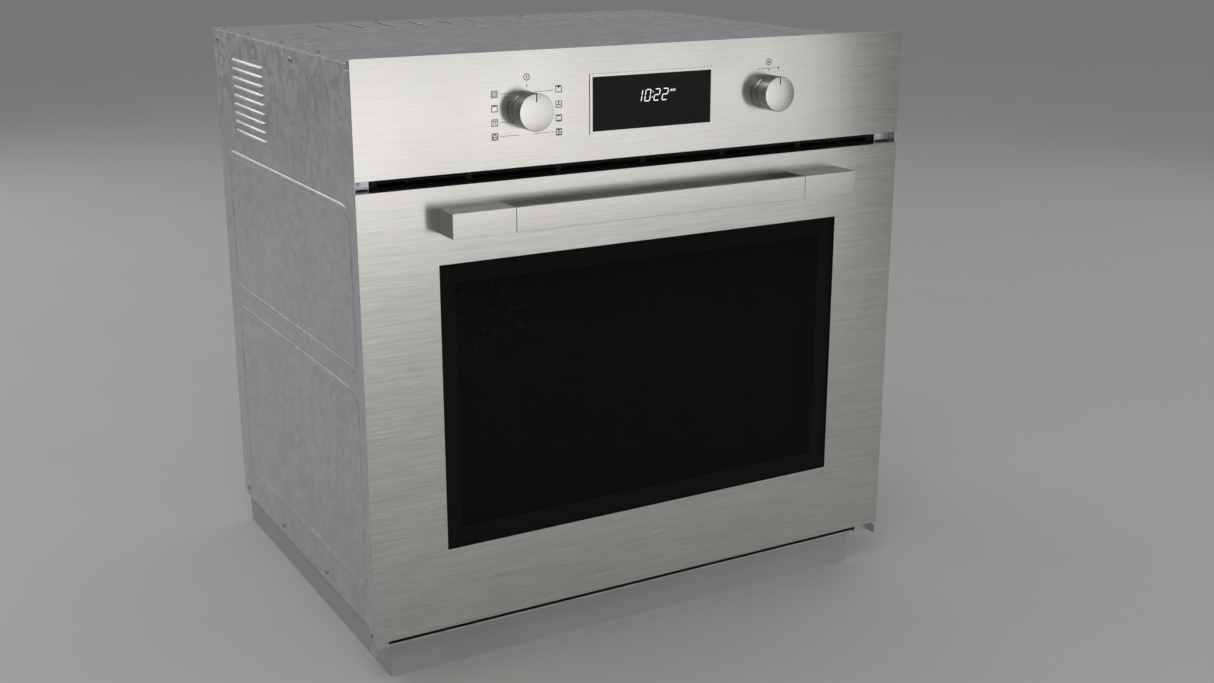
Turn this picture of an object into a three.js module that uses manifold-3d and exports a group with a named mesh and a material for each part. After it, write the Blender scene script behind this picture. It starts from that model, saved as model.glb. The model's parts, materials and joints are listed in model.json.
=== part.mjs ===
// A built-in electric wall oven of the 30-inch class: steel control panel with two knobs and a clock,
// drop-down door with a bar handle, enamelled cavity with its fan, heaters, shelf and tray, and the
// cooling blower, electronics and sheet-metal casing around them.
// Millimetres. +Z is up and the front faces -Y. The origin is the middle of the base's underside.
import * as THREE from "three";
import { mergeVertices } from "three/addons/utils/BufferGeometryUtils.js";
import Module from "manifold-3d";

const wasm = await Module();
wasm.setup();

// ---------------------------------------------------------------- driving dimensions

const GAP = 0.3; // between pieces that touch
const SHEET = 1.2; // casing steel
const SKIN = 1.5; // front steel

const FRONT = { half: 378, face: -324 }; // half width and front plane of door and control panel
const CASE = { half: 356, front: -306, back: 280, top: 696 }; // sheet-metal box behind the flanges
const DOOR = { bottom: 18, top: 560.8, back: -284.3 };
const PANEL = { bottom: 574, top: 706.9 };
const RETURN_BACK = FRONT.face + 14; // where the folded edges of the front skins end
const WINDOW = { half: 281.1, bottom: 119.7, top: 470.2 };
const HANDLE = { half: 280.6, blockInner: 201.5, bottom: 507.6, top: 536.6, reach: 39.4, bar: 5 };

const FRAME = { front: -280, bottom: 56, top: 556, setBack: -259.2 };
const MOUTH = { half: 300, bottom: 84, top: 488, back: 176 };
const WOOL = { half: 328, bottom: 58, top: 520, corner: 14 };
const FAN = { z: 270, y: 141, radius: 78, depth: 22 };
const BAFFLE = { half: 190, front: 134, bottom: 108, top: 432, sheet: 1.2 };
const RAIL = { x: 289.5, wire: 2.4, levels: [128, 190, 252, 314, 376], pair: 15 };
const SHELF_LEVEL = 2;
const TRAY = { level: 1, half: 288, front: -236, back: 108, brim: 14, depth: 44 };

// The hinge pin lies low in the door; each arm rises over the folded edge and runs back at armLow.
const HINGE = { x: 334, y: -315, z: 24, pin: 2.2, nose: 4, armLow: 30, armHigh: 38, slotTop: 39.5 };
const KNOB = { x: 167.7, z: 639.2, radius: 21.5, collar: 5.6, gap: 1.4, reach: 26.2 };
const DISPLAY = { half: 85.6, bottom: 604.7, top: 675.2, border: 3.4, proud: 1.1 };
const BLOWER = { y: 100, z: 588, radius: 32, half: 108, scroll: 46, wall: 1.4 };
const BRACKET = { half: 350, front: -303, bottom: 584, top: 690 };
const PANES = { outer: 4, middleFront: -301, innerThick: 4 };
const DOOR_FRAME = { half: 348, bottom: 22, top: 556, front: -308.6, plate: 1.5 };
const DOOR_OPENING = { half: 300, bottom: 100, top: 490 };
const HEATER = { radius: 3.2, ringRadius: 100, ringY: 152, tailEnd: 214 };
const RACK_WIRE = { frame: 3, bar: 1.7, pitch: 26, bars: 21 };

// ---------------------------------------------------------------- materials

const metal = (color, roughness) => new THREE.MeshStandardMaterial({ color, roughness, metalness: 1 });
const matt = (color, roughness = 0.6) => new THREE.MeshStandardMaterial({ color, roughness, metalness: 0 });
const MATERIAL = {
  brushedSteel: metal(0xc9c6bf, 0.32),
  knobSteel: metal(0xcfccc6, 0.28),
  galvanised: metal(0x9fa3a6, 0.45),
  bareSteel: metal(0x8b8d90, 0.4),
  element: metal(0x4a4a4c, 0.5),
  aluminium: metal(0xb9bcbf, 0.35),
  enamel: matt(0x1b1d22, 0.25),
  blackPlastic: matt(0x141414, 0.55),
  whitePlastic: matt(0xdedbd2, 0.5),
  ceramic: matt(0xe4e0d6, 0.6),
  wool: matt(0xc9b98a, 0.95),
  gasket: matt(0x55534f, 0.85),
  board: matt(0x1f5a38, 0.5),
  darkGlass: matt(0x0b0b0c, 0.06),
  clearGlass: new THREE.MeshStandardMaterial({
    color: 0xa8b5b0,
    roughness: 0.05,
    transparent: true,
    opacity: 0.35,
  }),
};

// ---------------------------------------------------------------- shapes and solids

const Y_TO_X = new THREE.Matrix4().makeRotationZ(-Math.PI / 2);
const Y_TO_Z = new THREE.Matrix4().makeRotationX(Math.PI / 2);
const SKETCH_ON_YZ = new THREE.Matrix4().makeBasis(
  new THREE.Vector3(0, 1, 0),
  new THREE.Vector3(0, 0, 1),
  new THREE.Vector3(1, 0, 0),
);

function box(x0, x1, y0, y1, z0, z1) {
  const geometry = new THREE.BoxGeometry(x1 - x0, y1 - y0, z1 - z0);
  return geometry.translate((x0 + x1) / 2, (y0 + y1) / 2, (z0 + z1) / 2);
}

// A closed outline through points, or a rectangle whose corners may be round.
const outline = (points) => new THREE.Shape(points.map(([u, v]) => new THREE.Vector2(u, v)));

function rectangle(u0, u1, v0, v1, radius = 0) {
  if (!radius) return outline([[u0, v0], [u1, v0], [u1, v1], [u0, v1]]);
  const shape = new THREE.Shape();
  shape.absarc(u1 - radius, v0 + radius, radius, -Math.PI / 2, 0);
  shape.absarc(u1 - radius, v1 - radius, radius, 0, Math.PI / 2);
  shape.absarc(u0 + radius, v1 - radius, radius, Math.PI / 2, Math.PI);
  shape.absarc(u0 + radius, v0 + radius, radius, Math.PI, 1.5 * Math.PI);
  return shape;
}

const disc = (u, v, radius) => new THREE.Shape().absarc(u, v, radius, 0, 2 * Math.PI);

// Extrudes a sketch drawn in the two other axes along axis, from one coordinate to another.
function extrude(shape, axis, from, to, holes = [], curveSegments = 5) {
  const sketch = shape.clone();
  sketch.holes = holes;
  const options = { depth: to - from, bevelEnabled: false, curveSegments };
  const geometry = new THREE.ExtrudeGeometry(sketch, options);
  if (axis === "z") return geometry.translate(0, 0, from);
  if (axis === "y") return geometry.applyMatrix4(Y_TO_Z).translate(0, to, 0);
  return geometry.applyMatrix4(SKETCH_ON_YZ).translate(from, 0, 0);
}

// A cylinder along axis between two coordinates, centred on (u, v) of the other two axes.
function rod(axis, from, to, u, v, radius, sides = 16) {
  const geometry = new THREE.CylinderGeometry(radius, radius, to - from, sides);
  const middle = (from + to) / 2;
  if (axis === "x") return geometry.applyMatrix4(Y_TO_X).translate(middle, u, v);
  if (axis === "y") return geometry.translate(u, middle, v);
  return geometry.applyMatrix4(Y_TO_Z).translate(u, v, middle);
}

// Turns a (radius, distance forwards) profile about a line along Y through (x, z) that starts at y.
function turned(profile, x, y, z, sides = 16) {
  const points = profile.map(([radius, forward]) => new THREE.Vector2(radius, -forward));
  if (THREE.ShapeUtils.area(points) < 0) points.reverse();
  return new THREE.LatheGeometry(points, sides).translate(x, y, z);
}

// A round bar that follows straight runs with rounded corners.
function bentBar(points, radius, bend, steps, sides = 6) {
  const corners = points.map((p) => new THREE.Vector3(...p));
  const path = new THREE.CurvePath();
  let start = corners[0];
  for (let i = 1; i < corners.length - 1; i++) {
    const back = corners[i - 1].clone().sub(corners[i]).setLength(bend);
    const onward = corners[i + 1].clone().sub(corners[i]).setLength(bend);
    const enter = corners[i].clone().add(back);
    const leave = corners[i].clone().add(onward);
    path.add(new THREE.LineCurve3(start, enter));
    path.add(new THREE.QuadraticBezierCurve3(enter, corners[i], leave));
    start = leave;
  }
  path.add(new THREE.LineCurve3(start, corners.at(-1)));
  return alongPath(path, radius, steps, sides);
}

function alongPath(path, radius, steps, sides) {
  const section = outline(
    Array.from({ length: sides }, (_, i) => {
      const angle = (2 * Math.PI * (i + 0.5)) / sides;
      return [radius * Math.cos(angle), radius * Math.sin(angle)];
    }),
  );
  return new THREE.ExtrudeGeometry(section, { steps, bevelEnabled: false, extrudePath: path });
}

function solid(geometry) {
  if (geometry instanceof wasm.Manifold) return geometry;
  const plain = geometry.clone();
  plain.deleteAttribute("normal");
  plain.deleteAttribute("uv");
  const merged = mergeVertices(plain, 1e-3);
  const vertProperties = merged.getAttribute("position").array;
  const triVerts = new Uint32Array(merged.index.array);
  return new wasm.Manifold(new wasm.Mesh({ numProp: 3, vertProperties, triVerts }));
}

const join = (...parts) => parts.map(solid).reduce((whole, part) => whole.add(part));
const cut = (part, ...tools) => tools.map(solid).reduce((rest, tool) => rest.subtract(tool), solid(part));

function toGeometry(body) {
  const { numProp, vertProperties, triVerts } = body.getMesh();
  const count = vertProperties.length / numProp;
  const positions = new Float32Array(count * 3);
  for (let i = 0; i < count; i++) positions.set(vertProperties.subarray(i * numProp, i * numProp + 3), i * 3);
  const indexed = new THREE.BufferGeometry();
  indexed.setAttribute("position", new THREE.BufferAttribute(positions, 3));
  indexed.setIndex(new THREE.BufferAttribute(triVerts, 1));
  const geometry = indexed.toNonIndexed();
  geometry.computeVertexNormals();
  return geometry;
}

const oven = new THREE.Group();

function add(name, shape, material) {
  const geometry = shape instanceof wasm.Manifold ? toGeometry(shape) : shape;
  const mesh = new THREE.Mesh(geometry, material);
  mesh.name = name;
  oven.add(mesh);
}

const range = (count) => Array.from({ length: count }, (_, i) => i);
const SIDES = [
  ["left", -1],
  ["right", 1],
];
const ordered = (a, b) => (a < b ? [a, b] : [b, a]);
const mirroredBox = (side, x0, x1, ...rest) => box(...ordered(side * x0, side * x1), ...rest);

// ---------------------------------------------------------------- casing

function casing() {
  const inner = CASE.half - SHEET - GAP;
  const [wallFront, wallHeight, hemBack] = [-250, 20, -298];
  const rearWall = CASE.back - 2;
  const base = join(
    cut(
      box(-inner, inner, wallFront, rearWall, 0, wallHeight),
      box(-inner + SHEET, inner - SHEET, wallFront - 10, rearWall - SHEET, SHEET, wallHeight + 10),
    ),
    box(-inner, inner, hemBack - 2, wallFront, 0, SHEET),
    box(-inner, inner, hemBack - 4, hemBack, 0, 2 * SHEET), // hemmed front edge
  );
  add("base_plate", base, MATERIAL.galvanised);

  for (const [name, s] of SIDES) {
    // The wall, its outward flange that lands on the cabinet, and the flange's forward lip.
    const lip = FRONT.half - 0.2;
    const plan = [
      [CASE.half - SHEET, rearWall],
      [CASE.half - SHEET, CASE.front],
      [lip - SHEET, CASE.front],
      [lip - SHEET, FRONT.face + SKIN + 0.6],
      [lip, FRONT.face + SKIN + 0.6],
      [lip, CASE.front + SHEET],
      [CASE.half, CASE.front + SHEET],
      [CASE.half, rearWall],
    ].map(([x, y]) => [s * x, y]);
    const wall = extrude(outline(plan), "z", GAP, CASE.top - SHEET - GAP);
    const louvres = range(9).map((i) => {
      return mirroredBox(s, CASE.half - 4, CASE.half + 4, 60, 190, 560 + 12 * i, 564 + 12 * i);
    });
    const screwHoles = [60, 300, 568.9, 650].map((z) => {
      return rod("y", CASE.front - 2, CASE.front + 4, s * 367.5, z, 2.4, 10);
    });
    // The lip stops short where the lower corner of the door swings past it.
    const notch = mirroredBox(s, lip - SHEET - 0.3, lip + 1, FRONT.face, CASE.front - 0.3, 12.6, 26);
    add(`${name}_side_panel`, cut(wall, ...louvres, ...screwHoles, notch), MATERIAL.galvanised);
  }

  const [lidFront, lidSkirt] = [CASE.front + 6, CASE.top - 16];
  const lid = join(
    box(-CASE.half, CASE.half, lidFront, CASE.back, CASE.top - SHEET, CASE.top),
    ...SIDES.map(([, s]) => {
      return mirroredBox(s, inner - SHEET, inner, -270, CASE.back - 3, lidSkirt, CASE.top);
    }),
    box(-inner + 1, inner - 1, lidFront, lidFront + SHEET, lidSkirt + 2, CASE.top),
  );
  const lidSlots = range(10).map((i) => {
    return box(-220 + 46 * i, -214 + 46 * i, 170, 240, CASE.top - 4, CASE.top + 4);
  });
  add("top_cover", cut(lid, ...lidSlots), MATERIAL.galvanised);

  const [rearFace, rearBack] = [CASE.back - SHEET - GAP, CASE.back - GAP];
  const through = (x, width, z0, z1) => box(x, x + width, rearFace - 4, rearBack + 4, z0, z1);
  const rear = cut(
    box(-inner, inner, rearFace, rearBack, SHEET + GAP, CASE.top - SHEET - GAP),
    ...range(12).map((i) => through(-150 + 26 * i, 6, 560, 620)),
    ...range(9).map((i) => through(-62 + 15 * i, 4, 225, 315)),
    through(246, 28, 580, 592), // cable outlet under the clamp
  );
  add("rear_cover", rear, MATERIAL.galvanised);
}

// The enamelled frame around the mouth, set back below it to clear the door's lower edge.
function frontFrame() {
  const { front, bottom, top, setBack } = FRAME;
  const profile = outline([
    [front, bottom],
    [setBack, bottom],
    [setBack, 2],
    [setBack + SHEET, 2],
    [setBack + SHEET, bottom + SHEET],
    [front + SHEET, bottom + SHEET],
    [front + SHEET, top],
    [front, top],
  ]);
  const half = CASE.half - SHEET - 0.4;
  const mouth = rectangle(-MOUTH.half, MOUTH.half, MOUTH.bottom, MOUTH.top, 12);
  const [slotLow, slotHigh] = [HINGE.armLow - 4, HINGE.armHigh + 8];
  const hingeSlots = SIDES.map(([, s]) => {
    return mirroredBox(s, HINGE.x - 6, HINGE.x + 6, setBack - 4, setBack + 4, slotLow, slotHigh);
  });
  const opening = extrude(mouth, "y", front - 4, front + 4);
  add("front_frame", cut(extrude(profile, "x", -half, half), opening, ...hingeSlots), MATERIAL.enamel);
}

// ---------------------------------------------------------------- cavity and what heats it

const LAMP = { x: -225, z: 425 };
const PROBE = { x: 225, z: 440 };
const GRILL_Z = 468;
const TERMINALS = { ringX: 14, ringZ: FAN.z - 99, grillX: 30, baseX: 60, baseZ: 74 };

function cavity() {
  const start = FRAME.front + SHEET + GAP;
  const { half, bottom, top, back } = MOUTH;
  const shell = cut(
    box(-half - SHEET, half + SHEET, start, back + SHEET, bottom - SHEET, top + SHEET),
    box(-half, half, start - 5, back, bottom, top),
  );
  const rim = rectangle(-half - 11, half + 11, bottom - 11, top + 11, 14);
  const flange = extrude(rim, "y", start, start + SHEET, [rectangle(-half, half, bottom, top)]);
  const rearHole = (x, z, radius, sides = 8) => rod("y", back - 5, back + 5, x, z, radius, sides);
  const holes = [
    rearHole(0, FAN.z, 10),
    rearHole(LAMP.x, LAMP.z, 24, 16),
    rearHole(PROBE.x, PROBE.z, 3.2),
    ...SIDES.map(([, s]) => rearHole(s * TERMINALS.ringX, TERMINALS.ringZ, 4.5)),
    ...SIDES.map(([, s]) => rearHole(s * TERMINALS.grillX, GRILL_Z, 4.5)),
  ];
  add("oven_cavity", cut(join(shell, flange), ...holes), MATERIAL.enamel);

  const blanket = rectangle(-WOOL.half, WOOL.half, WOOL.bottom, WOOL.top, WOOL.corner);
  const [wrapFront, wrapBack, padBack] = [-256, 172, 199];
  const tunnel = rectangle(-half - 3, half + 3, WOOL.bottom + 10, top + 4, 6);
  add("insulation_wrap", extrude(blanket, "y", wrapFront, wrapBack, [tunnel]), MATERIAL.wool);
  const pad = extrude(blanket, "y", back + SHEET + GAP, padBack, [
    disc(0, FAN.z, 42),
    disc(LAMP.x, LAMP.z, 27),
    disc(PROBE.x, PROBE.z, 5),
    rectangle(-26, 26, TERMINALS.ringZ - 12, TERMINALS.ringZ + 12),
    rectangle(-52, 52, GRILL_Z - 10, GRILL_Z + 10),
    rectangle(-72, 72, TERMINALS.baseZ - 8, TERMINALS.baseZ + 8),
  ]);
  add("insulation_rear_pad", pad, MATERIAL.wool);

  const gasketOuter = rectangle(-half - 13, half + 13, bottom - 13, top + 13, 20);
  const gasketInner = rectangle(-half - 5, half + 5, bottom - 5, top + 5, 12);
  add("door_gasket", extrude(gasketOuter, "y", -283.9, FRAME.front - GAP, [gasketInner]), MATERIAL.gasket);
}

function heaters() {
  const { radius, ringRadius, ringY, tailEnd } = HEATER;
  const ring = new THREE.Curve();
  const gapAngle = Math.asin(TERMINALS.ringX / ringRadius);
  ring.getPoint = (t, target = new THREE.Vector3()) => {
    const angle = -Math.PI / 2 + gapAngle + t * (2 * Math.PI - 2 * gapAngle);
    return target.set(ringRadius * Math.cos(angle), ringY, FAN.z + ringRadius * Math.sin(angle));
  };
  const tails = SIDES.map(([, s]) => {
    return rod("y", ringY - 3, tailEnd, s * TERMINALS.ringX, TERMINALS.ringZ, radius, 6);
  });
  add("ring_element", join(alongPath(ring, radius, 28, 6), ...tails), MATERIAL.element);

  // One half of each element as seen from above; the other half mirrors it.
  const mirrored = (half, z) => {
    const whole = [...half, ...half.toReversed().map(([x, y]) => [-x, y])];
    return whole.map(([x, y]) => [x, y, z]);
  };
  const [near, far, inner] = [-200, 110, 60];
  const [first, second, third] = [225, 160, 95];
  const folds = [
    [TERMINALS.grillX, tailEnd],
    [TERMINALS.grillX, far],
    [first, far],
    [first, near],
    [second, near],
    [second, inner],
    [third, inner],
    [third, near],
    [TERMINALS.grillX, near],
    [TERMINALS.grillX, inner],
  ];
  add("grill_element", bentBar(mirrored(folds, GRILL_Z), radius, 26, 100, 5), MATERIAL.element);

  const [baseHalf, baseNear, baseFar] = [200, -190, 120];
  const lower = [
    [TERMINALS.baseX, tailEnd - 2],
    [TERMINALS.baseX, baseFar],
    [baseHalf, baseFar],
    [baseHalf, baseNear],
  ];
  add("base_element", bentBar(mirrored(lower, TERMINALS.baseZ), radius, 30, 44), MATERIAL.element);
}

function fan() {
  const { z, y, radius, depth } = FAN;
  const { half, front, bottom, top, sheet } = BAFFLE;
  const slots = range(12).map((i) => {
    const slot = box(26, 64, front - 4, front + 6, -4, 4).rotateY((i * Math.PI) / 6);
    return slot.translate(0, 0, z);
  });
  const [windowPitch, windowHeight] = [102, 92];
  const sideWindows = SIDES.flatMap(([, s]) => {
    return range(3).map((i) => {
      const low = bottom + 14 + windowPitch * i;
      return mirroredBox(s, half - 10, half + 10, front + 8, front + 36, low, low + windowHeight);
    });
  });
  const pan = cut(
    box(-half, half, front, MOUTH.back - GAP, bottom, top),
    box(-half + sheet, half - sheet, front + sheet, MOUTH.back + 5, bottom + sheet, top - sheet),
    ...slots,
    ...sideWindows,
    rod("y", front - 4, front + 6, 0, z, 9, 12),
  );
  add("fan_baffle", pan, MATERIAL.enamel);

  const blades = range(10).map((i) => {
    const blade = box(14, radius, y, y + depth, -0.8, 0.8);
    return blade.rotateY((i * Math.PI) / 5).translate(0, 0, z);
  });
  const wheel = join(
    rod("y", y + depth - 1.5, y + depth, 0, z, radius, 24),
    rod("y", y + 2, y + depth, 0, z, 16, 12),
    rod("y", y, 250, 0, z, 4, 12),
    ...blades,
  );
  add("convection_fan", wheel, MATERIAL.aluminium);

  const motor = cut(
    join(
      box(-75, 75, 199.4, 201, z - 55, z + 55),
      box(-34, 34, 200, 242, z - 34, z + 34),
      rod("y", 240, 256, 0, z, 24, 20),
    ),
    rod("y", 190, 262, 0, z, 4.5, 12),
  );
  add("convection_motor", motor, MATERIAL.bareSteel);
}

function lampAndProbe() {
  const { x, z } = LAMP;
  const back = MOUTH.back;
  // Profiles as [radius, distance in front of the cavity's back wall].
  const housing = [[5.4, -50], [23.4, -50], [23.4, -1.6], [20, -1.6], [20, -36], [5.4, -36], [5.4, -50]];
  const bulb = [[0, -44], [5, -44], [5, -26], [9, -20], [9, 4], [6, 9], [0, 11]];
  const lensOutside = [[27, GAP], [30, GAP], [30, 8], [22, 15], [10, 18], [0, 18.5]];
  const lensInside = [[0, 16], [9, 15.5], [20.5, 12.8], [27, 7], [27, GAP]];
  add("lamp_housing", turned(housing, x, back, z), MATERIAL.ceramic);
  add("lamp_bulb", turned(bulb, x, back, z), MATERIAL.clearGlass);
  add("lamp_lens", turned([...lensOutside, ...lensInside], x, back, z), MATERIAL.clearGlass);
  const probe = join(
    rod("y", 80, 232, PROBE.x, PROBE.z, 2.6, 10),
    rod("y", back - 3, back - GAP, PROBE.x, PROBE.z, 9, 12),
  );
  add("temperature_probe", probe, MATERIAL.bareSteel);
}

function racks() {
  const { x, wire, levels, pair } = RAIL;
  for (const [name, s] of SIDES) {
    const rungs = levels.flatMap((z) => {
      return [z, z + pair].map((height) => rod("y", -245, 110, s * x, height, wire, 6));
    });
    const posts = [-232, 96].flatMap((y) => {
      const reach = ordered(s * 292, s * (MOUTH.half - GAP));
      const studs = [120, 403].map((z) => rod("x", ...reach, y, z, 3, 6));
      return [rod("z", 114, 409, s * 293.2, y, 2.8, 6), ...studs];
    });
    add(`${name}_shelf_rail`, join(...rungs, ...posts), MATERIAL.bareSteel);
  }

  const { frame, bar, pitch, bars } = RACK_WIRE;
  const z = levels[SHELF_LEVEL] + wire + frame + GAP;
  const [shelfHalf, shelfFront, shelfBack] = [286.8, -235, 109];
  const firstBar = (-pitch * (bars - 1)) / 2;
  const shelf = join(
    ...SIDES.map(([, s]) => rod("y", shelfFront - frame, shelfBack + frame, s * shelfHalf, z, frame, 6)),
    ...[shelfFront, -60, shelfBack].map((y) => rod("x", -shelfHalf, shelfHalf, y, z, frame, 6)),
    ...range(bars).map((i) => rod("y", shelfFront, shelfBack, firstBar + pitch * i, z + 2.6, bar, 4)),
  );
  add("wire_shelf", shelf, MATERIAL.bareSteel);

  const rim = levels[TRAY.level] + wire + GAP;
  const { half, front, back, brim, depth } = TRAY;
  const [side, near, far, floor] = [half - brim, front + brim, back - brim, rim - depth];
  const tray = cut(
    join(
      box(-half, half, front, back, rim, rim + SHEET),
      box(-side, side, near, far, floor, rim + SHEET),
    ),
    box(-side + SHEET, side - SHEET, near + SHEET, far - SHEET, floor + SHEET, rim + 8),
  );
  add("baking_tray", tray, MATERIAL.enamel);
}

// ---------------------------------------------------------------- cooling, power and controls

function cooling() {
  const { y, z, radius, half, scroll, wall } = BLOWER;
  const shroud = new THREE.Shape();
  shroud.absarc(y, z, scroll, -Math.PI / 2, 0.62 * Math.PI);
  shroud.absarc(y, z, scroll - wall, 0.62 * Math.PI, -Math.PI / 2, true);
  const [mouthY, end] = [y - 36, half + 8];
  const housing = cut(
    join(
      extrude(shroud, "x", -end, end, [], 8),
      box(-end, end, mouthY, y + 1, z - scroll, z - scroll + wall),
      ...SIDES.map(([, s]) => mirroredBox(s, end - wall, end, mouthY, y + scroll, z - scroll, z + scroll)),
    ),
    rod("x", -half - 20, half + 20, y, z, 5.5, 12),
  );
  add("cooling_blower_housing", housing, MATERIAL.galvanised);

  const discs = [-half, -1, half - 2].map((x) => rod("x", x, x + 2, y, z, radius, 20));
  const blades = range(14).map((i) => {
    const blade = box(-half, half, radius - 9, radius - 1, -0.7, 0.7);
    return blade.rotateX((i * Math.PI) / 7).translate(0, y, z);
  });
  const shaft = rod("x", -half - 10, 152, y, z, 4, 12);
  add("cooling_blower_wheel", join(...discs, ...blades, shaft), MATERIAL.aluminium);
  const motor = cut(
    join(box(126, 158, y - 26, y + 26, z - 30, z + 30), box(130, 154, y - 20, y + 20, z + 29, z + 44)),
    rod("x", 110, 170, y, z, 4.6, 12),
  );
  add("cooling_blower_motor", motor, MATERIAL.bareSteel);

  // The duct falls forwards from the blower's mouth to the slot over the door.
  const floor = z - scroll - 8;
  const [ductHalf, outlet, kink, inlet] = [300, -282, -180, y - 38];
  const ductOuter = outline([[outlet, 558], [kink, floor], [inlet, floor], [inlet, 602], [outlet, 580]]);
  const ductInner = outline([
    [outlet - 8, 558 + SHEET],
    [kink, floor + SHEET],
    [y, floor + SHEET],
    [y, 602 - SHEET],
    [outlet, 580 - SHEET],
    [outlet - 8, 580 - SHEET],
  ]);
  const hollow = extrude(ductInner, "x", -ductHalf + SHEET, ductHalf - SHEET);
  add("air_duct", cut(extrude(ductOuter, "x", -ductHalf, ductHalf), hollow), MATERIAL.galvanised);

  const [slotPitch, slotWidth, slotHeight] = [116, 108, 4.6];
  const slots = [562, 568.6].flatMap((low) => {
    return range(6).map((i) => {
      const start = -344 + slotPitch * i;
      return box(start, start + slotWidth, -306, -296, low, low + slotHeight);
    });
  });
  const grille = cut(
    box(-353, 353, -303, -284, 558.4, 582),
    box(-360, 360, -301.4, -280, 560, 580.4),
    ...slots,
  );
  add("vent_grille", grille, MATERIAL.blackPlastic);
  const thermostat = join(rod("z", WOOL.top + 0.4, 530, 200, 150, 12, 16), box(192, 208, 146, 154, 529, 540));
  add("safety_thermostat", thermostat, MATERIAL.whitePlastic);
}

function electronics() {
  const board = 601; // height the parts on the board are set in to
  const transformer = box(-300, -255, 180, 222, board, board + 35);
  const relays = [-245, -220, -195].map((x) => box(x, x + 20, 190, 218, board, board + 16));
  const connectors = box(-300, -200, 100, 112, board, board + 11);
  const capacitors = [
    rod("z", board, board + 25, -180, 120, 9, 16),
    rod("z", board, board + 20, -205, 140, 7, 16),
  ];
  const legs = [-306, -164].flatMap((x) => [94, 226].map((y) => rod("z", 588, board, x, y, 3, 8)));
  const plate = box(-310, -160, 90, 230, board - 1, board + 0.6);
  const populated = join(plate, transformer, ...relays, connectors, ...capacitors, ...legs);
  add("power_board", populated, MATERIAL.board);

  // The mains inlet: screw wells for the wires, and the clamp their cable hangs down through.
  const inlet = 260;
  const wells = range(4).map((i) => rod("y", 290, 304, inlet - 24 + 16 * i, 645, 4.4, 10));
  const block = cut(box(inlet - 34, inlet + 34, CASE.back, 300, 632, 658), ...wells);
  add("terminal_block", block, MATERIAL.whitePlastic);
  const bore = rod("z", 590, 620, inlet, 291, 7, 16);
  add("cable_clamp", cut(box(inlet - 24, inlet + 24, CASE.back, 302, 598, 614), bore), MATERIAL.blackPlastic);
}

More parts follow.
